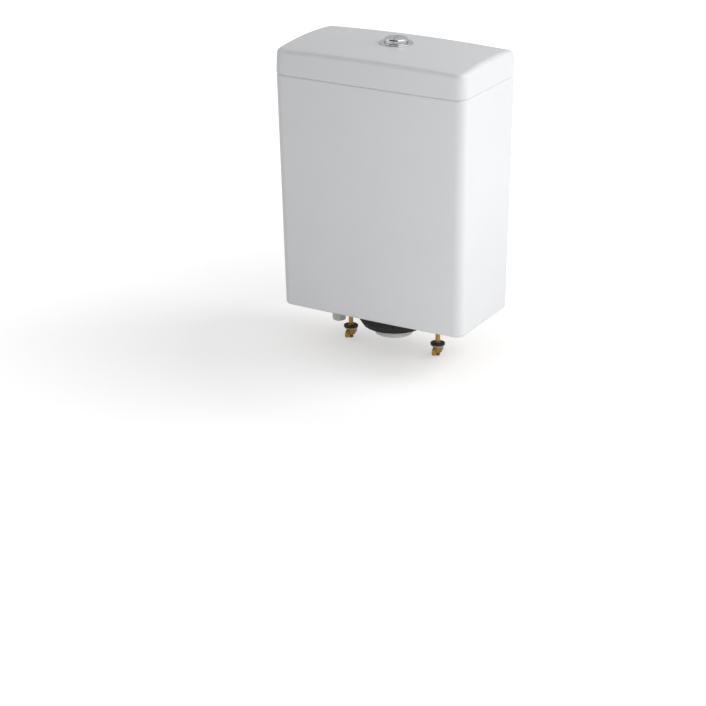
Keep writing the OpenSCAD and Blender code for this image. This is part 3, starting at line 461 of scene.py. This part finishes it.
core_r = tail_r - tail_depth
base = piece("outlet_moulding", [
    turned([(tail_bore, tail_low), (core_r, tail_low, 1), (core_r, flange_z), (flange_r, flange_z),
            (flange_r, flange_top, 0.8), (seat_r, flange_top, 0.8), (seat_r, seat_z, 0.6),
            (tail_bore, seat_z, 0.6)], sides=96),
    turned(band(hoop_bore, hoop_r, hoop_z, cage_top), sides=96),
    thread(core_r, tail_depth, tail_pitch, tail_thread_low, tail_thread_len, white_plastic),
    grown(ribs, 0.6, Count=6, Radius=cage_r, Size=(2.8, 8, cage_top - cage_z), Turn=math.radians(30),
          Place=(0, 0, (cage_top + cage_z) / 2), Material=white_plastic)], white_plastic)
fit(base, "outlet_base", "cistern")

nut = piece("outlet_lugged_nut", [
    turned([(nut_bore, nut_low, 0.8), (nut_r, nut_low, 1), (nut_r, under_z, 0.6), (nut_bore, under_z)],
           sides=96),
    grown(ribs, 0.7, Count=8, Radius=lug_r, Size=(5, 6, -nut_low), Turn=0.0, Place=(0, 0, nut_low / 2),
          Material=white_plastic)], white_plastic)
fit(nut, "outlet_backnut", "cistern")

doughnut = piece("coupling_doughnut", [
    turned([(doughnut_bore, under_z, 1), (doughnut_r, under_z, 1.5), (53.8, -17, 2), (46.8, doughnut_low, 2),
            (doughnut_bore, doughnut_low, 1)], sides=96)], sponge)
fit(doughnut, "doughnut_seal", "cistern")

# Flush valve
# The spindle is a grey overflow tube with a webbed white disc pushed on its foot and a red silicone ring
# under it that closes the seat. A white windowed tower hooks over the cage, guides the tube and carries a
# blue rocking lever on a steel pin. The lever lifts a blue yoke on the tube; a green rod pushes the
# half-flush float down.
tube_r, tube_bore, tube_low, tube_high = 16, 13.5, 28.5, 277
collar_r, collar_low, collar_high = 18.2, 269, 272
first_mark, last_mark, mark_step, mark_half, mark_rise = 140, 260, 10, 0.5, 0.3
disc_bore, disc_r, disc_top, hub_r, hub_top, web_r, web_z = 16.05, 30.5, 33.5, 20, 42.5, 24, 35.2
half_low, half_ceiling, half_top = 190, 228, 230
half_bore, half_inner_r, half_outer_bore, half_r, seal_r = 18.2, 19.7, 27.5, 29, 31.5


def from_cad(node, soft):
    """The piece's own CAD solid as a shell, with its edges eased by soft."""
    shape = bmesh.new()
    shape.from_mesh(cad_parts[node].data)
    bmesh.ops.scale(shape, vec=(1000, 1000, 1000), verts=shape.verts)
    bmesh.ops.remove_doubles(shape, verts=shape.verts, dist=0.002)
    bmesh.ops.dissolve_limit(shape, angle_limit=math.radians(0.6), verts=shape.verts, edges=shape.edges)
    sharp = [e for e in shape.edges if len(e.link_faces) == 2 and e.calc_face_angle() > math.radians(30)]
    mesh = eased_mesh(shape, sharp, soft, 2, node + "_shell")
    mesh.materials.clear()
    mesh.polygons.foreach_set("material_index", [0] * len(mesh.polygons))
    return mesh


# Acetal and polypropylene in the colours that tell the moving parts apart: satin, even, with mould grain.
grey_plastic = moulded("moulded_grey_polypropylene", "#A9ADAF", "#B7BABC", 0.38)
blue_plastic = moulded("moulded_blue_acetal", "#2F63A6", "#3A70B4", 0.34)
green_plastic = moulded("moulded_green_acetal", "#3A8A57", "#469864", 0.36)

# Red silicone: soft-looking, dusty, a little lighter where it has been flexed in 10 mm clouds.
silicone, t, spot = new_finish("red_silicone_rubber")
tint = blended(t, noise(t, spot, 10, 3), "#A5352B", "#BC4A3D")
coat(t, tint, 0.55, IOR=1.41, Normal=bumped(t, noise(t, spot, 0.6, 3), 0.2, 0.1))

# Drawn stainless wire and stamped washers: pale warm grey metal, brushed in lines 0.3 mm apart along X.
steel, t, spot = new_finish("drawn_stainless_steel")
drawn = add(t, "ShaderNodeMapping", {"Vector": spot, "Scale": (0.06, 1, 1)})
line = noise(t, drawn.outputs[0], 0.3, 2)
coat(t, blended(t, line, "#A8A8A6", "#C2C2C0"), ranged(t, line, 0.2, 0.4), Metallic=1.0)

carrier = piece("spindle_disc", [
    turned([(disc_bore, tube_low), (disc_r, tube_low), (disc_r, disc_top, 0.8), (hub_r, disc_top, 0.8),
            (hub_r, hub_top, 0.8), (disc_bore, hub_top)]),
    grown(ribs, 0.4, Count=8, Radius=web_r, Size=(10, 1.8, 5), Turn=0.0, Place=(0, 0, web_z),
          Material=white_plastic)], white_plastic)
fit(carrier, "seal_carrier", "spindle")

seal = piece("spindle_seal", [turned(band(tube_bore, seal_r, seat_z, tube_low, 0.6))], silicone)
fit(seal, "seat_seal", "spindle")

# The tube is ringed every 10 mm below its top, so that it can be sawn to the water level.
outside = [(tube_r, tube_low)]
for mark in range(first_mark, last_mark + 1, mark_step):
    outside += [(tube_r, mark - mark_half, 0.1), (tube_r + mark_rise, mark, 0.1),
                (tube_r, mark + mark_half, 0.1)]
outside += [(tube_r, collar_low), (collar_r, collar_low), (collar_r, collar_high), (tube_r, collar_high)]
tube_profile = [(tube_bore, tube_low)] + outside + [(tube_r, tube_high, 0.8), (tube_bore, tube_high, 0.8)]
overflow = piece("spindle_overflow_tube", [turned(tube_profile)], grey_plastic)
fit(overflow, "overflow_tube", "spindle")

yoke = piece("spindle_yoke", [from_cad("lift_yoke", 0.5)], blue_plastic)
fit(yoke, "lift_yoke", "spindle")

tower = piece("windowed_tower", [from_cad("valve_tower", 0.5)], white_plastic)
fit(tower, "valve_tower", "cistern")

half_float = piece("half_flush_ring_float", [
    turned([(half_bore, half_low), (half_inner_r, half_low), (half_inner_r, half_ceiling),
            (half_outer_bore, half_ceiling), (half_outer_bore, half_low), (half_r, half_low),
            (half_r, half_top, 1), (half_bore, half_top)])], green_plastic)
fit(half_float, "half_flush_float", "half_trip")

trip = piece("half_flush_push_rod", [from_cad("half_flush_trip", 0.5)], green_plastic)
fit(trip, "half_flush_trip", "half_trip")

lever = piece("full_flush_rocker", [from_cad("full_flush_lever", 0.6)], blue_plastic)
fit(lever, "full_flush_lever", "flush_lever")

pin = piece("rocker_pin", [from_cad("lever_pin", 0.3)], steel)
fit(pin, "lever_pin", "cistern")

# Fill valve
# A polypropylene shank goes through the floor on a rubber washer, held by a hexagon nut, with a nylon
# strainer in its mouth. A sleeve carries the valve head; a screw cap holds a rubber diaphragm in it. A grey
# float cup slides on the sleeve and its threaded rod, with a knurled nut, swings a forked lever that shuts
# the pilot nozzle.
at_fill, at_rod = (inlet_x, inlet_y, 0), (inlet_x, inlet_y - 24.5, 0)
shank_r, shank_depth, shank_pitch, shank_low, shank_top = 10.475, 0.8, 1.814, -48, 58
shank_bore, strainer_bore, strainer_z, collar_fit_r, shank_flange_r = 6.5, 7.6, -30, 9.4, 15.475
shank_threads, washer_bore, washer_r = ((-46.8, 35.0), (-8.7, 22.6)), 10.575, 14.975
sleeve_bore, sleeve_r, clip_r, clip_low, clip_high, sleeve_top = 9.5, 11, 11.35, 24, 27, 230
diaphragm_low, diaphragm_high, diaphragm_r = 252, 254, 14.3
rod_r, rod_core, rod_depth, rod_pitch, rod_low, rod_high = 2, 1.6, 0.4, 0.9, 196, 283
rod_stop_r, rod_stop_low, rod_stop_high, rod_thread_low, rod_thread_len = 4.2, 260.7, 262.7, 263.4, 18.8
nut_hole_r, nut_neck_r, knurl_r, nut_z, knurl_z, nut_top = 2.05, 4.2, 5, 269.3, 272.3, 277.3

# Undyed nylon: cream, a little see-through at the edges, so slightly deeper in colour where it pools.
nylon = moulded("moulded_cream_nylon", "#DDD3B4", "#E6DEC6", 0.42)

core_r = shank_r - shank_depth
shank = piece("inlet_threaded_shank", [
    turned([(strainer_bore, shank_low), (core_r, shank_low, 0.8), (core_r, flange_z),
            (shank_flange_r, flange_z), (shank_flange_r, flange_top, 0.8), (collar_fit_r, flange_top),
            (collar_fit_r, shank_top, 0.8), (shank_bore, shank_top), (shank_bore, strainer_z, 0.1),
            (strainer_bore, strainer_z, 0.1)], place=at_fill),
    *(thread(core_r, shank_depth, shank_pitch, low, length, white_plastic, at_fill[:2])
      for low, length in shank_threads)], white_plastic)
fit(shank, "inlet_shank", "cistern")

washer = piece("inlet_rubber_washer", [
    turned(band(washer_bore, washer_r, floor_z, flange_z), place=at_fill)], rubber)
fit(washer, "inlet_washer", "cistern")

hex_nut = piece("inlet_hexagon_nut", [from_cad("inlet_backnut", 0.5)], white_plastic)
fit(hex_nut, "inlet_backnut", "cistern")

strainer = piece("inlet_slotted_strainer", [from_cad("inlet_strainer", 0.15)], nylon)
fit(strainer, "inlet_strainer", "cistern")

sleeve = piece("fill_valve_sleeve", [
    turned([(sleeve_bore, flange_top), (sleeve_r, flange_top), (sleeve_r, clip_low, 0.1),
            (clip_r, clip_low, 0.1), (clip_r, clip_high, 0.1), (sleeve_r, clip_high, 0.1),
            (sleeve_r, sleeve_top), (sleeve_bore, sleeve_top)], place=at_fill)], white_plastic)
fit(sleeve, "riser_sleeve", "cistern")

head = piece("fill_valve_head", [from_cad("fill_head", 0.6)], white_plastic)
fit(head, "fill_head", "cistern")

diaphragm = piece("fill_valve_diaphragm", [
    turned([(1, diaphragm_low), (diaphragm_r, diaphragm_low), (diaphragm_r, diaphragm_high),
            (11.5, diaphragm_high, 0.3), (11, 253.4, 0.3), (10.5, diaphragm_high, 0.3), (1, diaphragm_high)],
           place=at_fill)], rubber)
fit(diaphragm, "fill_diaphragm", "cistern")

fill_cap = piece("fill_valve_screw_cap", [from_cad("fill_cap", 0.4)], grey_plastic)
fit(fill_cap, "fill_cap", "cistern")

cup = piece("fill_float_cup", [from_cad("float_cup", 0.7)], grey_plastic)
fit(cup, "float_cup", "fill_float")

float_rod = piece("fill_float_threaded_rod", [
    turned([(0, rod_low), (rod_r, rod_low), (rod_r, rod_stop_low), (rod_stop_r, rod_stop_low),
            (rod_stop_r, rod_stop_high), (rod_core, rod_stop_high), (rod_core, rod_high), (0, rod_high)],
           sides=40, place=at_rod),
    thread(rod_core, rod_depth, rod_pitch, rod_thread_low, rod_thread_len, grey_plastic, at_rod[:2])],
    grey_plastic)
fit(float_rod, "float_rod", "fill_float")

level_nut = piece("fill_float_level_nut", [
    turned([(nut_hole_r, nut_z), (nut_neck_r, nut_z), (nut_neck_r, knurl_z), (knurl_r, knurl_z),
            (knurl_r, nut_top, 0.5), (nut_hole_r, nut_top)], sides=48, place=at_rod),
    grown(ribs, 0.15, Count=20, Radius=4.95, Size=(0.9, 0.7, 4.4), Turn=0.0, Place=(*at_rod[:2], 274.8),
          Material=blue_plastic)], blue_plastic)
fit(level_nut, "float_adjuster", "fill_float")

fork = piece("fill_forked_lever", [from_cad("float_lever", 0.5)], blue_plastic)
fit(fork, "float_lever", "fill_lever")

fork_pin = piece("forked_lever_pin", [from_cad("float_pin", 0.3)], steel)
fit(fork_pin, "float_pin", "cistern")

# Coupling kit
# Two flat-headed brass bolts hang through the floor on tapered rubber seals. Below, each takes a rubber
# washer, a stamped steel washer and a hot-pressed brass wing nut.
thread_r, bolt_core, bolt_shank_r, bolt_pitch, bolt_low = 4, 3.45, 3.55, 1.25, -66
neck_low, neck_high, collar_z, bolt_thread_low, bolt_thread_len = -42.2, -42, -1, -65.2, 22.6
head_r, head_z, head_top, bar_half_l, bar_half_t, bar_low, bar_top = 10, 19, 22, 8, 1.2, 20.5, 23
seal_bore, plug_low, plug_r, plug_top_r, seal_foot_r, seal_top_r = 4.05, 5, 5.6, 5.9, 11, 9
hard_bore, hard_r, hard_low, soft_r, soft_low, soft_high = 4.3, 10, -50, 11, -48.4, -45.4
bolt_places = [(x, 0, 0) for x in (-bolt_x, bolt_x)]

# Plain brass: warm yellow metal gone dull and brown in 7 mm patches, with turning lines 0.5 mm apart.
brass, t, spot = new_finish("turned_brass")
tarnish = noise(t, spot, 7, 4)
lathe = add(t, "ShaderNodeMapping", {"Vector": spot, "Scale": (0.05, 0.05, 1)})
coat(t, blended(t, tarnish, "#8F6F38", "#C9A55C"), ranged(t, tarnish, 0.48, 0.22), Metallic=1.0,
     Normal=bumped(t, noise(t, lathe.outputs[0], 0.5, 1), 0.2, 0.1))


def block(low, high, soft):
    """A box between two corners with every edge eased by soft."""
    box = bmesh.new()
    bmesh.ops.create_cube(box, size=1)
    for v in box.verts:
        v.co = [a + (b - a) * (c + 0.5) for a, b, c in zip(low, high, v.co)]
    return eased_mesh(box, box.edges[:], soft, 3, "block")


bolt_shells = []
for place in bolt_places:
    x = place[0]
    bolt_shells += [
        turned([(0, bolt_low), (bolt_core, bolt_low, 0.8), (bolt_core, neck_low, 0.2),
                (bolt_shank_r, neck_high, 0.2), (bolt_shank_r, collar_z), (thread_r, collar_z),
                (thread_r, head_z), (head_r, head_z), (head_r, head_top, 1), (0, head_top)],
               sides=48, place=place),
        thread(bolt_core, thread_r - bolt_core, bolt_pitch, bolt_thread_low, bolt_thread_len, brass,
               place[:2]),
        block((x - bar_half_l, -bar_half_t, bar_low), (x + bar_half_l, bar_half_t, bar_top), 0.5)]
bolts = piece("brass_coupling_bolts", bolt_shells, brass)
fit(bolts, "coupling_bolts", "cistern")

seal_profile = [(seal_bore, plug_low), (plug_r, plug_low), (plug_top_r, floor_z, 0.2),
                (seal_foot_r, floor_z), (seal_top_r, head_z, 0.8), (seal_bore, head_z)]
bolt_seals = piece("tapered_bolt_seals", [
    turned(seal_profile, sides=48, place=p) for p in bolt_places], rubber)
fit(bolt_seals, "bolt_seals", "cistern")

soft_washers = piece("rubber_bolt_washers", [
    turned(band(seal_bore, soft_r, soft_low, soft_high, 0.6), sides=48, place=p)
    for p in bolt_places], rubber)
fit(soft_washers, "pan_washers", "cistern")

hard_washers = piece("steel_bolt_washers", [
    turned(band(hard_bore, hard_r, hard_low, soft_low, 0.3), soft=0.2, sides=48, place=p)
    for p in bolt_places], steel)
fit(hard_washers, "bolt_washers", "cistern")

wing_nuts = piece("brass_wing_nuts", [from_cad("wing_nuts", 0.6)], brass)
fit(wing_nuts, "wing_nuts", "cistern")

# Lid
# The lid is slip-cast like the tank and lies loose on its rim. Its top is crowned both ways and turns down
# into the walls in one soft round. Underneath it is hollow and unglazed, with six lugs that drop inside the
# tank's walls.
lid_w, lid_front, lid_back, lid_z, ceiling_z = 311.5, -90.75, 75.5, 406, 392
lid_edge_r, lid_draft, lid_wall, crown_x, crown_y = 8, 1, 14, 4, 5
lid_corner_r, lid_rear_r, lip_r, ceiling_r = 16, 6, 2, 6
hole_r, recess_r, recess_z, hollow_heights = 20, 25.15, 405.5, (366, 384)
hole_mouth = ((0, 403.5), (0.3, 404.9), (1, recess_z))
hole_foot = ((6, ceiling_z), (1, ceiling_z), (0.3, 392.4), (0, 393.5))
lug_low, lug_high, lug_t, lug_soft = 352, 376, 7, 1.5
side_lug_places, side_lug_half, cross_lug_x = (-143.25, 136.25), 30, 60


def crown(x, y):
    """Height of the lid's top."""
    return lid_z - crown_x * (2 * x / lid_w) ** 2 - crown_y * (2 * y / tank_d) ** 2


def lid_ring(inset):
    """The lid's outline, set in."""
    return china_plan(lid_w - 2 * inset, lid_front + inset, lid_back - inset, lid_corner_r - inset,
                      max(lid_rear_r - inset, 1), front_bow)


def hollow_ring(z, inset):
    """The outline of the hollow under the lid at a height, set in."""
    width = lid_w - 2 * lid_wall - 2 * inset
    outline = china_plan(width, lid_front + lid_wall + inset, lid_back - lid_wall - inset, inner_r, inner_r,
                         front_bow)
    return [(x, y, z) for x, y in outline]


def round_ring(r, z):
    """A circle with a point for each point of the lid's outline."""
    turns = [math.atan2(y, x) for x, y in lid_ring(lid_draft + lid_edge_r)]
    return [(r * math.cos(a), r * math.sin(a), z) for a in turns]


# The rings run from the button hole over the top, down the walls, and back under the ceiling to the hole.
# The underside is bare, up to the edge of the hole.
rings = [round_ring(hole_r + out, z) for out, z in hole_mouth] + [round_ring(recess_r - 0.3, recess_z)]
inner, outer = round_ring(recess_r, 0), lid_ring(lid_draft + lid_edge_r)
for part in (0, 0.02, 0.06, 0.14, 0.26, 0.4, 0.55, 0.7, 0.84, 0.94, 1):
    flat = [(a[0] + (b[0] - a[0]) * part, a[1] + (b[1] - a[1]) * part) for a, b in zip(inner, outer)]
    rings.append([(x, y, crown(x, y)) for x, y in flat])
for a in [math.radians(d) for d in range(81, -1, -9)]:
    rings.append([(x, y, crown(x, y) - lid_edge_r * (1 - math.sin(a)))
                  for x, y in lid_ring(lid_draft + lid_edge_r * (1 - math.cos(a)))])
low = rim_z + rim_r
for part in (0.9, 0.6, 0.3, 0.1):
    rings.append([(x, y, low + (crown(x, y) - lid_edge_r - low) * part)
                  for x, y in lid_ring(lid_draft * part)])
rings += [[(x, y, rim_z + rim_r * (1 - s)) for x, y in lid_ring(rim_r * (1 - c))] for s, c in ROUND]
first_bare = len(rings) - 1
rings += [hollow_ring(rim_z + lip_r * (1 - c), -lip_r * (1 - s)) for s, c in ROUND]
rings += [hollow_ring(z, 0) for z in hollow_heights]
rings += [hollow_ring(ceiling_z - ceiling_r * (1 - s), ceiling_r * (1 - c)) for s, c in ROUND[1:]]
rings += [round_ring(hole_r + out, z) for out, z in hole_foot]
bare_rings = range(first_bare, len(rings) - 3)
lugs = [block((x, -side_lug_half, lug_low), (x + lug_t, side_lug_half, lug_high), lug_soft)
        for x in side_lug_places]
# A front lug is two blocks: the upper one joins it to the wall.
cross_lugs = ((57.25, lug_t, lug_low, 15), (-76.25, lug_t, lug_low, 15), (-77.25, 7.4, 363, 14.8))
for x in (-cross_lug_x, cross_lug_x):
    for y, deep, low, half in cross_lugs:
        lugs.append(block((x - half, y, low), (x + half, y + deep, lug_high), lug_soft))
for mesh in lugs:
    mesh.polygons.foreach_set("material_index", [1] * len(mesh.polygons))
lid = piece("china_lid", [skin(rings, looped=True, bare=bare_rings)] + lugs, glaze, bisque)
fit(lid, "cistern_lid", "lid")

# Button set
# A chromed ABS bezel drops through the lid and a nut pulls it up against a rubber washer. A guide disc
# closes its barrel. Two chromed half-round buttons, parted by a curved split, slide in it on steel springs,
# and each pushes a grey rod that can be snapped to length at its notches.
button_r, cap_low, cap_high, cap_round, dish_depth = 17.2, 400.5, 414.3, 3.4, 0.8
turn, split_r, split_mid, split_gap, split_soft = math.radians(12), 70, 68.8, 0.6, 0.5
ridge, skirt_top = 0.2, 409.6
rod_x, rod_y = 8.5 * math.cos(turn), 8.5 * math.sin(turn)
push_r, push_low, push_high, stop_r, stop_z, stop_top = 3.2, 303.3, 384.6, 5.4, 370.6, 372.6
notch_r, notch_half, notch_flat, notch_heights = 2.85, 0.6, 0.3, range(312, 367, 6)
stem_r, stem_top, socket_r, socket_top = 4, 401.5, 3.25, 385.6
coil_r, wire_r, coil_pitch, coil_low, coil_tall = 6.0, 0.5, 4.26, 378.6, 21.3
barrel_bore, barrel_core, barrel_depth, barrel_low, bezel_r = 17.6, 18.7, 0.5, 373, 24.75
clamp_bore, clamp_low, clamp_flange, clamp_top, clamp_r = 19.3, 382, 387, 390, 26.2

# Bright chromium plate on polished plastic: a cool mirror, with a breath of haze in 5 mm patches.
chrome, t, spot = new_finish("bright_chromium_plate")
haze = noise(t, spot, 5, 3)
coat(t, blended(t, haze, "#CBCDD0", "#D3D5D8"), ranged(t, haze, 0.04, 0.1), Metallic=1.0)

bezel = piece("chromed_bezel", [
    turned([(barrel_bore, barrel_low), (barrel_core, barrel_low), (barrel_core, recess_z, 0.1),
            (bezel_r, recess_z, 0.15), (bezel_r, 406.7, 0.25), (24.25, 407.2, 0.25), (19.6, 407.4, 0.2),
            (18.8, 407.7, 0.3), (18, 407.7, 0.3), (barrel_bore, 407.3, 0.2)], sides=128),
    thread(barrel_core, barrel_depth, 2.0, 373.8, 26.0, chrome)], chrome)
fit(bezel, "button_bezel", "lid")

soft_ring = piece("bezel_rubber_washer", [turned(band(clamp_bore, 27.2, clamp_top, ceiling_z))], rubber)
fit(soft_ring, "bezel_washer", "lid")

clamp_nut = piece("bezel_finger_nut", [
    turned([(clamp_bore, clamp_low), (23.2, clamp_low, 0.8), (23.2, clamp_flange),
            (clamp_r, clamp_flange, 0.6), (clamp_r, clamp_top), (clamp_bore, clamp_top)]),
    grown(ribs, 0.6, Count=6, Radius=23.6, Size=(5.2, 4, 6), Turn=0.0, Place=(0, 0, 385),
          Material=white_plastic)], white_plastic)
fit(clamp_nut, "bezel_locknut", "lid")

guide = piece("stem_guide_disc", [from_cad("button_guide", 0.3)], white_plastic)
fit(guide, "button_guide", "lid")

dish_r = ((button_r + 0.5) ** 2 + dish_depth ** 2) / (2 * dish_depth)


def shoulder(x, y):
    """Height of the buttons' top: a shallow dish that meets a wide round shoulder in a soft ridge."""
    across = math.hypot(x, y)
    dish = cap_high + dish_r - dish_depth - math.sqrt(dish_r ** 2 - across ** 2)
    out = min(max(across - button_r + cap_round, 0), cap_round)
    fall = cap_high - cap_round + math.sqrt(cap_round ** 2 - out ** 2)
    low, high = sorted((dish, fall))
    return low - ridge * math.log1p(math.exp((low - high) / ridge))


def button_outline(full, in_round, in_split):
    """Plan of one button, its round edge and its split edge set in. Each point says how much of it is round
    edge."""
    r = button_r - in_round
    arc_r = split_r - split_gap / 2 - in_split if full else split_r + split_gap / 2 + in_split
    meet_x = (split_mid ** 2 + r * r - arc_r ** 2) / (2 * split_mid)
    meet = math.acos(meet_x / r)
    swing = math.atan2(r * math.sin(meet), split_mid - meet_x)
    ends = (-meet, meet) if full else (meet, 2 * math.pi - meet)
    edge = [(r * math.cos(a), r * math.sin(a), 1) for a in
            (ends[0] + (ends[1] - ends[0]) * i / 60 for i in range(61))]
    swings = [swing - 2 * swing * i / 28 for i in range(1, 28)]
    split = [(split_mid - arc_r * math.cos(a), arc_r * math.sin(a), 0) for a in swings]
    outline = edge + (split if full else split[::-1])
    c, s = math.cos(turn), math.sin(turn)
    return [(x * c - y * s, x * s + y * c, w) for x, y, w in outline]


for full, side, name in ((True, 1, "full"), (False, -1, "half")):
    x, y = side * rod_x, side * rod_y
    rings = [[(px, py, z) for px, py, w in button_outline(full, 0, 0)]
             for z in (cap_low, cap_low + 0.3, skirt_top)]
    for a in [math.radians(d) for d in range(0, 91, 6)]:
        ring = button_outline(full, cap_round * (1 - math.cos(a)), split_soft * (1 - math.cos(a)))
        rings.append([(px, py, shoulder(px, py) - split_soft * (1 - math.sin(a)) * (1 - w))
                      for px, py, w in ring])
    edge = button_outline(full, cap_round, split_soft)
    for part in (0.96, 0.85, 0.7, 0.5, 0.3, 0.12):
        flat = [(x + (px - x) * part, y + (py - y) * part) for px, py, w in edge]
        rings.append([(px, py, shoulder(px, py)) for px, py in flat])
    stem = turned([(0, socket_top), (socket_r, socket_top, 0.1), (socket_r, stop_top), (stem_r, stop_top),
                   (stem_r, stem_top), (0, stem_top)], sides=40, place=(x, y, 0))
    button = piece(name + "_chromed_button", [skin(rings), stem], chrome)
    fit(button, name + "_flush_button", name + "_button")

    notched = [(0, push_low), (push_r, push_low, 1)]
    for z in notch_heights:
        notched += [(push_r, z - notch_half, 0.1), (notch_r, z - notch_flat, 0.1),
                    (notch_r, z + notch_flat, 0.1), (push_r, z + notch_half, 0.1)]
    notched += [(push_r, stop_z), (stop_r, stop_z), (stop_r, stop_top), (push_r, stop_top),
                (push_r, push_high, 0.8), (0, push_high)]
    push_rod = piece(name + "_notched_rod", [turned(notched, sides=40, place=(x, y, 0))], grey_plastic)
    fit(push_rod, name + "_flush_rod", name + "_button")

    spring = piece(name + "_coil_spring", [
        grown(helix, Radius=coil_r, Section=wire_r, Sides=12, Pitch=coil_pitch, Height=coil_tall,
              Place=(x, y, coil_low), Material=steel)], steel)
    fit(spring, name + "_button_spring", "lid")
    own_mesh(spring)

# Studio
# A white paper sweep in a pale room, with two softboxes on the right, one high behind and one low in front.
# The camera sees the sweep white, with the object's shadow on it. Grey boards behind and in front, a black
# flag over the camera and a white card on the right stay out of the picture: they are there for the chrome
# and the wet glaze to mirror. Lengths here are in metres.
floor_level, floor_half, lamp_size, lamp_aim = -0.0666, 30.0, 0.9, Vector((0, 0, 0.2))
azimuth, elevation, reach = math.radians(29.42), math.radians(22.16), 3.4
camera_aim, focal_mm, sensor_mm = Vector((-0.0715, 0, -0.0921)), 112.27, 36
WHITE = (1, 1, 1, 1)


def seen_rays(tree):
    """What a tree knows of its rays, and 1 for those from the camera, off a mirror or through glass."""
    ray = add(tree, "ShaderNodeLightPath").outputs
    seen = add(tree, "ShaderNodeMath", {0: ray["Is Camera Ray"], 1: ray["Is Glossy Ray"]},
               operation="MAXIMUM")
    shown = add(tree, "ShaderNodeMath", {0: seen.outputs[0], 1: ray["Is Transmission Ray"]},
                operation="MAXIMUM")
    return ray, shown.outputs[0]


sweep, t, spot = new_finish("matt_white_paper_sweep")
paper = add(t, "ShaderNodeBsdfDiffuse", {"Color": blended(t, noise(t, spot, 2, 2), "#E3E3E3", "#E6E6E6")})
far = add(t, "ShaderNodeVectorMath", {0: spot}, operation="LENGTH")
glow = add(t, "ShaderNodeMapRange", {"Value": far.outputs["Value"], "From Min": 0.3, "From Max": 0.9,
                                     "To Min": 0.42, "To Max": 0.75})
ray, shown = seen_rays(t)
share = ranged(t, ray["Is Camera Ray"], 0.6, 1.0)
level = add(t, "ShaderNodeMath", {0: glow.outputs[0], 1: share}, operation="MULTIPLY")
lit = add(t, "ShaderNodeEmission", {"Color": WHITE, "Strength": level.outputs[0]})
both = add(t, "ShaderNodeAddShader", {0: paper.outputs[0], 1: lit.outputs[0]})
mixed = add(t, "ShaderNodeMixShader", {0: shown, 1: paper.outputs[0], 2: both.outputs[0]})
add(t, "ShaderNodeOutputMaterial", {"Surface": mixed.outputs[0]})


def sheet(name, finish, width, height, place, aim):
    """A flat stage sheet, turned to face a point."""
    mesh = bpy.data.meshes.new(name)
    facing = (Vector(aim) - Vector(place)).to_track_quat("Z", "Y").to_matrix()
    corners = [(x * width / 2, y * height / 2, 0) for x, y in ((-1, -1), (1, -1), (1, 1), (-1, 1))]
    mesh.from_pydata([Vector(place) + facing @ Vector(c) for c in corners], [], [(0, 1, 2, 3)])
    mesh.materials.append(finish)
    flat = bpy.data.objects.new(name, mesh)
    bpy.context.scene.collection.objects.link(flat)
    return flat


sheet("paper_sweep", sweep, 2 * floor_half, 2 * floor_half, (0, 0, floor_level), (0, 0, 1))
for name, shade, width, height, place, aim in (
        ("grey_board", 0.56, 5.0, 2.2, (-0.73, 1.32, 1.0), (0, 0, 1.0)),
        ("low_grey_board", 0.75, 3.0, 0.47, (0.48, -0.88, 0.59), (0, 0, 0.59)),
        ("black_flag", 0.0, 2.0, 1.38, (0.05, -0.545, 1.25), (0, 0, 0.41)),
        ("white_card", 2.0, 1.2, 0.9, (0.64, 0, 1.18), (0, 0, 0.41))):
    cloth, t, spot = new_finish(name + "_cloth")
    level = ranged(t, noise(t, spot, 3, 2), shade, shade + 0.01)
    glow = add(t, "ShaderNodeEmission", {"Color": WHITE, "Strength": level})
    add(t, "ShaderNodeOutputMaterial", {"Surface": glow.outputs[0]})
    board = sheet(name, cloth, width, height, place, aim)
    board.visible_camera = board.visible_diffuse = board.visible_shadow = False

room = bpy.data.worlds.new("pale_room")
room.use_nodes = True
t = room.node_tree
t.nodes.clear()
ray, shown = seen_rays(t)
air = add(t, "ShaderNodeBackground", {"Color": WHITE, "Strength": 0.47})
white = add(t, "ShaderNodeBackground", {"Color": WHITE, "Strength": 1.0})
mixed = add(t, "ShaderNodeMixShader", {0: shown, 1: air.outputs[0], 2: white.outputs[0]})
add(t, "ShaderNodeOutputWorld", {"Surface": mixed.outputs[0]})
bpy.context.scene.world = room

for name, power, place in (("high_softbox", 8.9, (1.1, 0.6, 1.0)), ("low_softbox", 3.2, (0.8, -0.6, 0.2))):
    lamp = bpy.data.lights.new(name, "AREA")
    lamp.energy, lamp.size = power, lamp_size
    softbox = bpy.data.objects.new(name, lamp)
    softbox.location, softbox.visible_glossy = place, False
    softbox.rotation_euler = (lamp_aim - Vector(place)).to_track_quat("-Z", "Y").to_euler()
    bpy.context.scene.collection.objects.link(softbox)

back = Vector((math.sin(azimuth) * math.cos(elevation), -math.cos(azimuth) * math.cos(elevation),
               math.sin(elevation)))
facing = (-back).to_track_quat("-Z", "Y").to_matrix().to_4x4()
lens = bpy.data.cameras.new("photo_camera")
lens.lens, lens.sensor_width = focal_mm, sensor_mm
camera = bpy.data.objects.new("photo_camera", lens)
camera.matrix_world = Matrix.Translation(camera_aim + reach * back) @ facing
bpy.context.scene.collection.objects.link(camera)
bpy.context.scene.camera = camera
bpy.context.scene.view_settings.view_transform = "Standard"
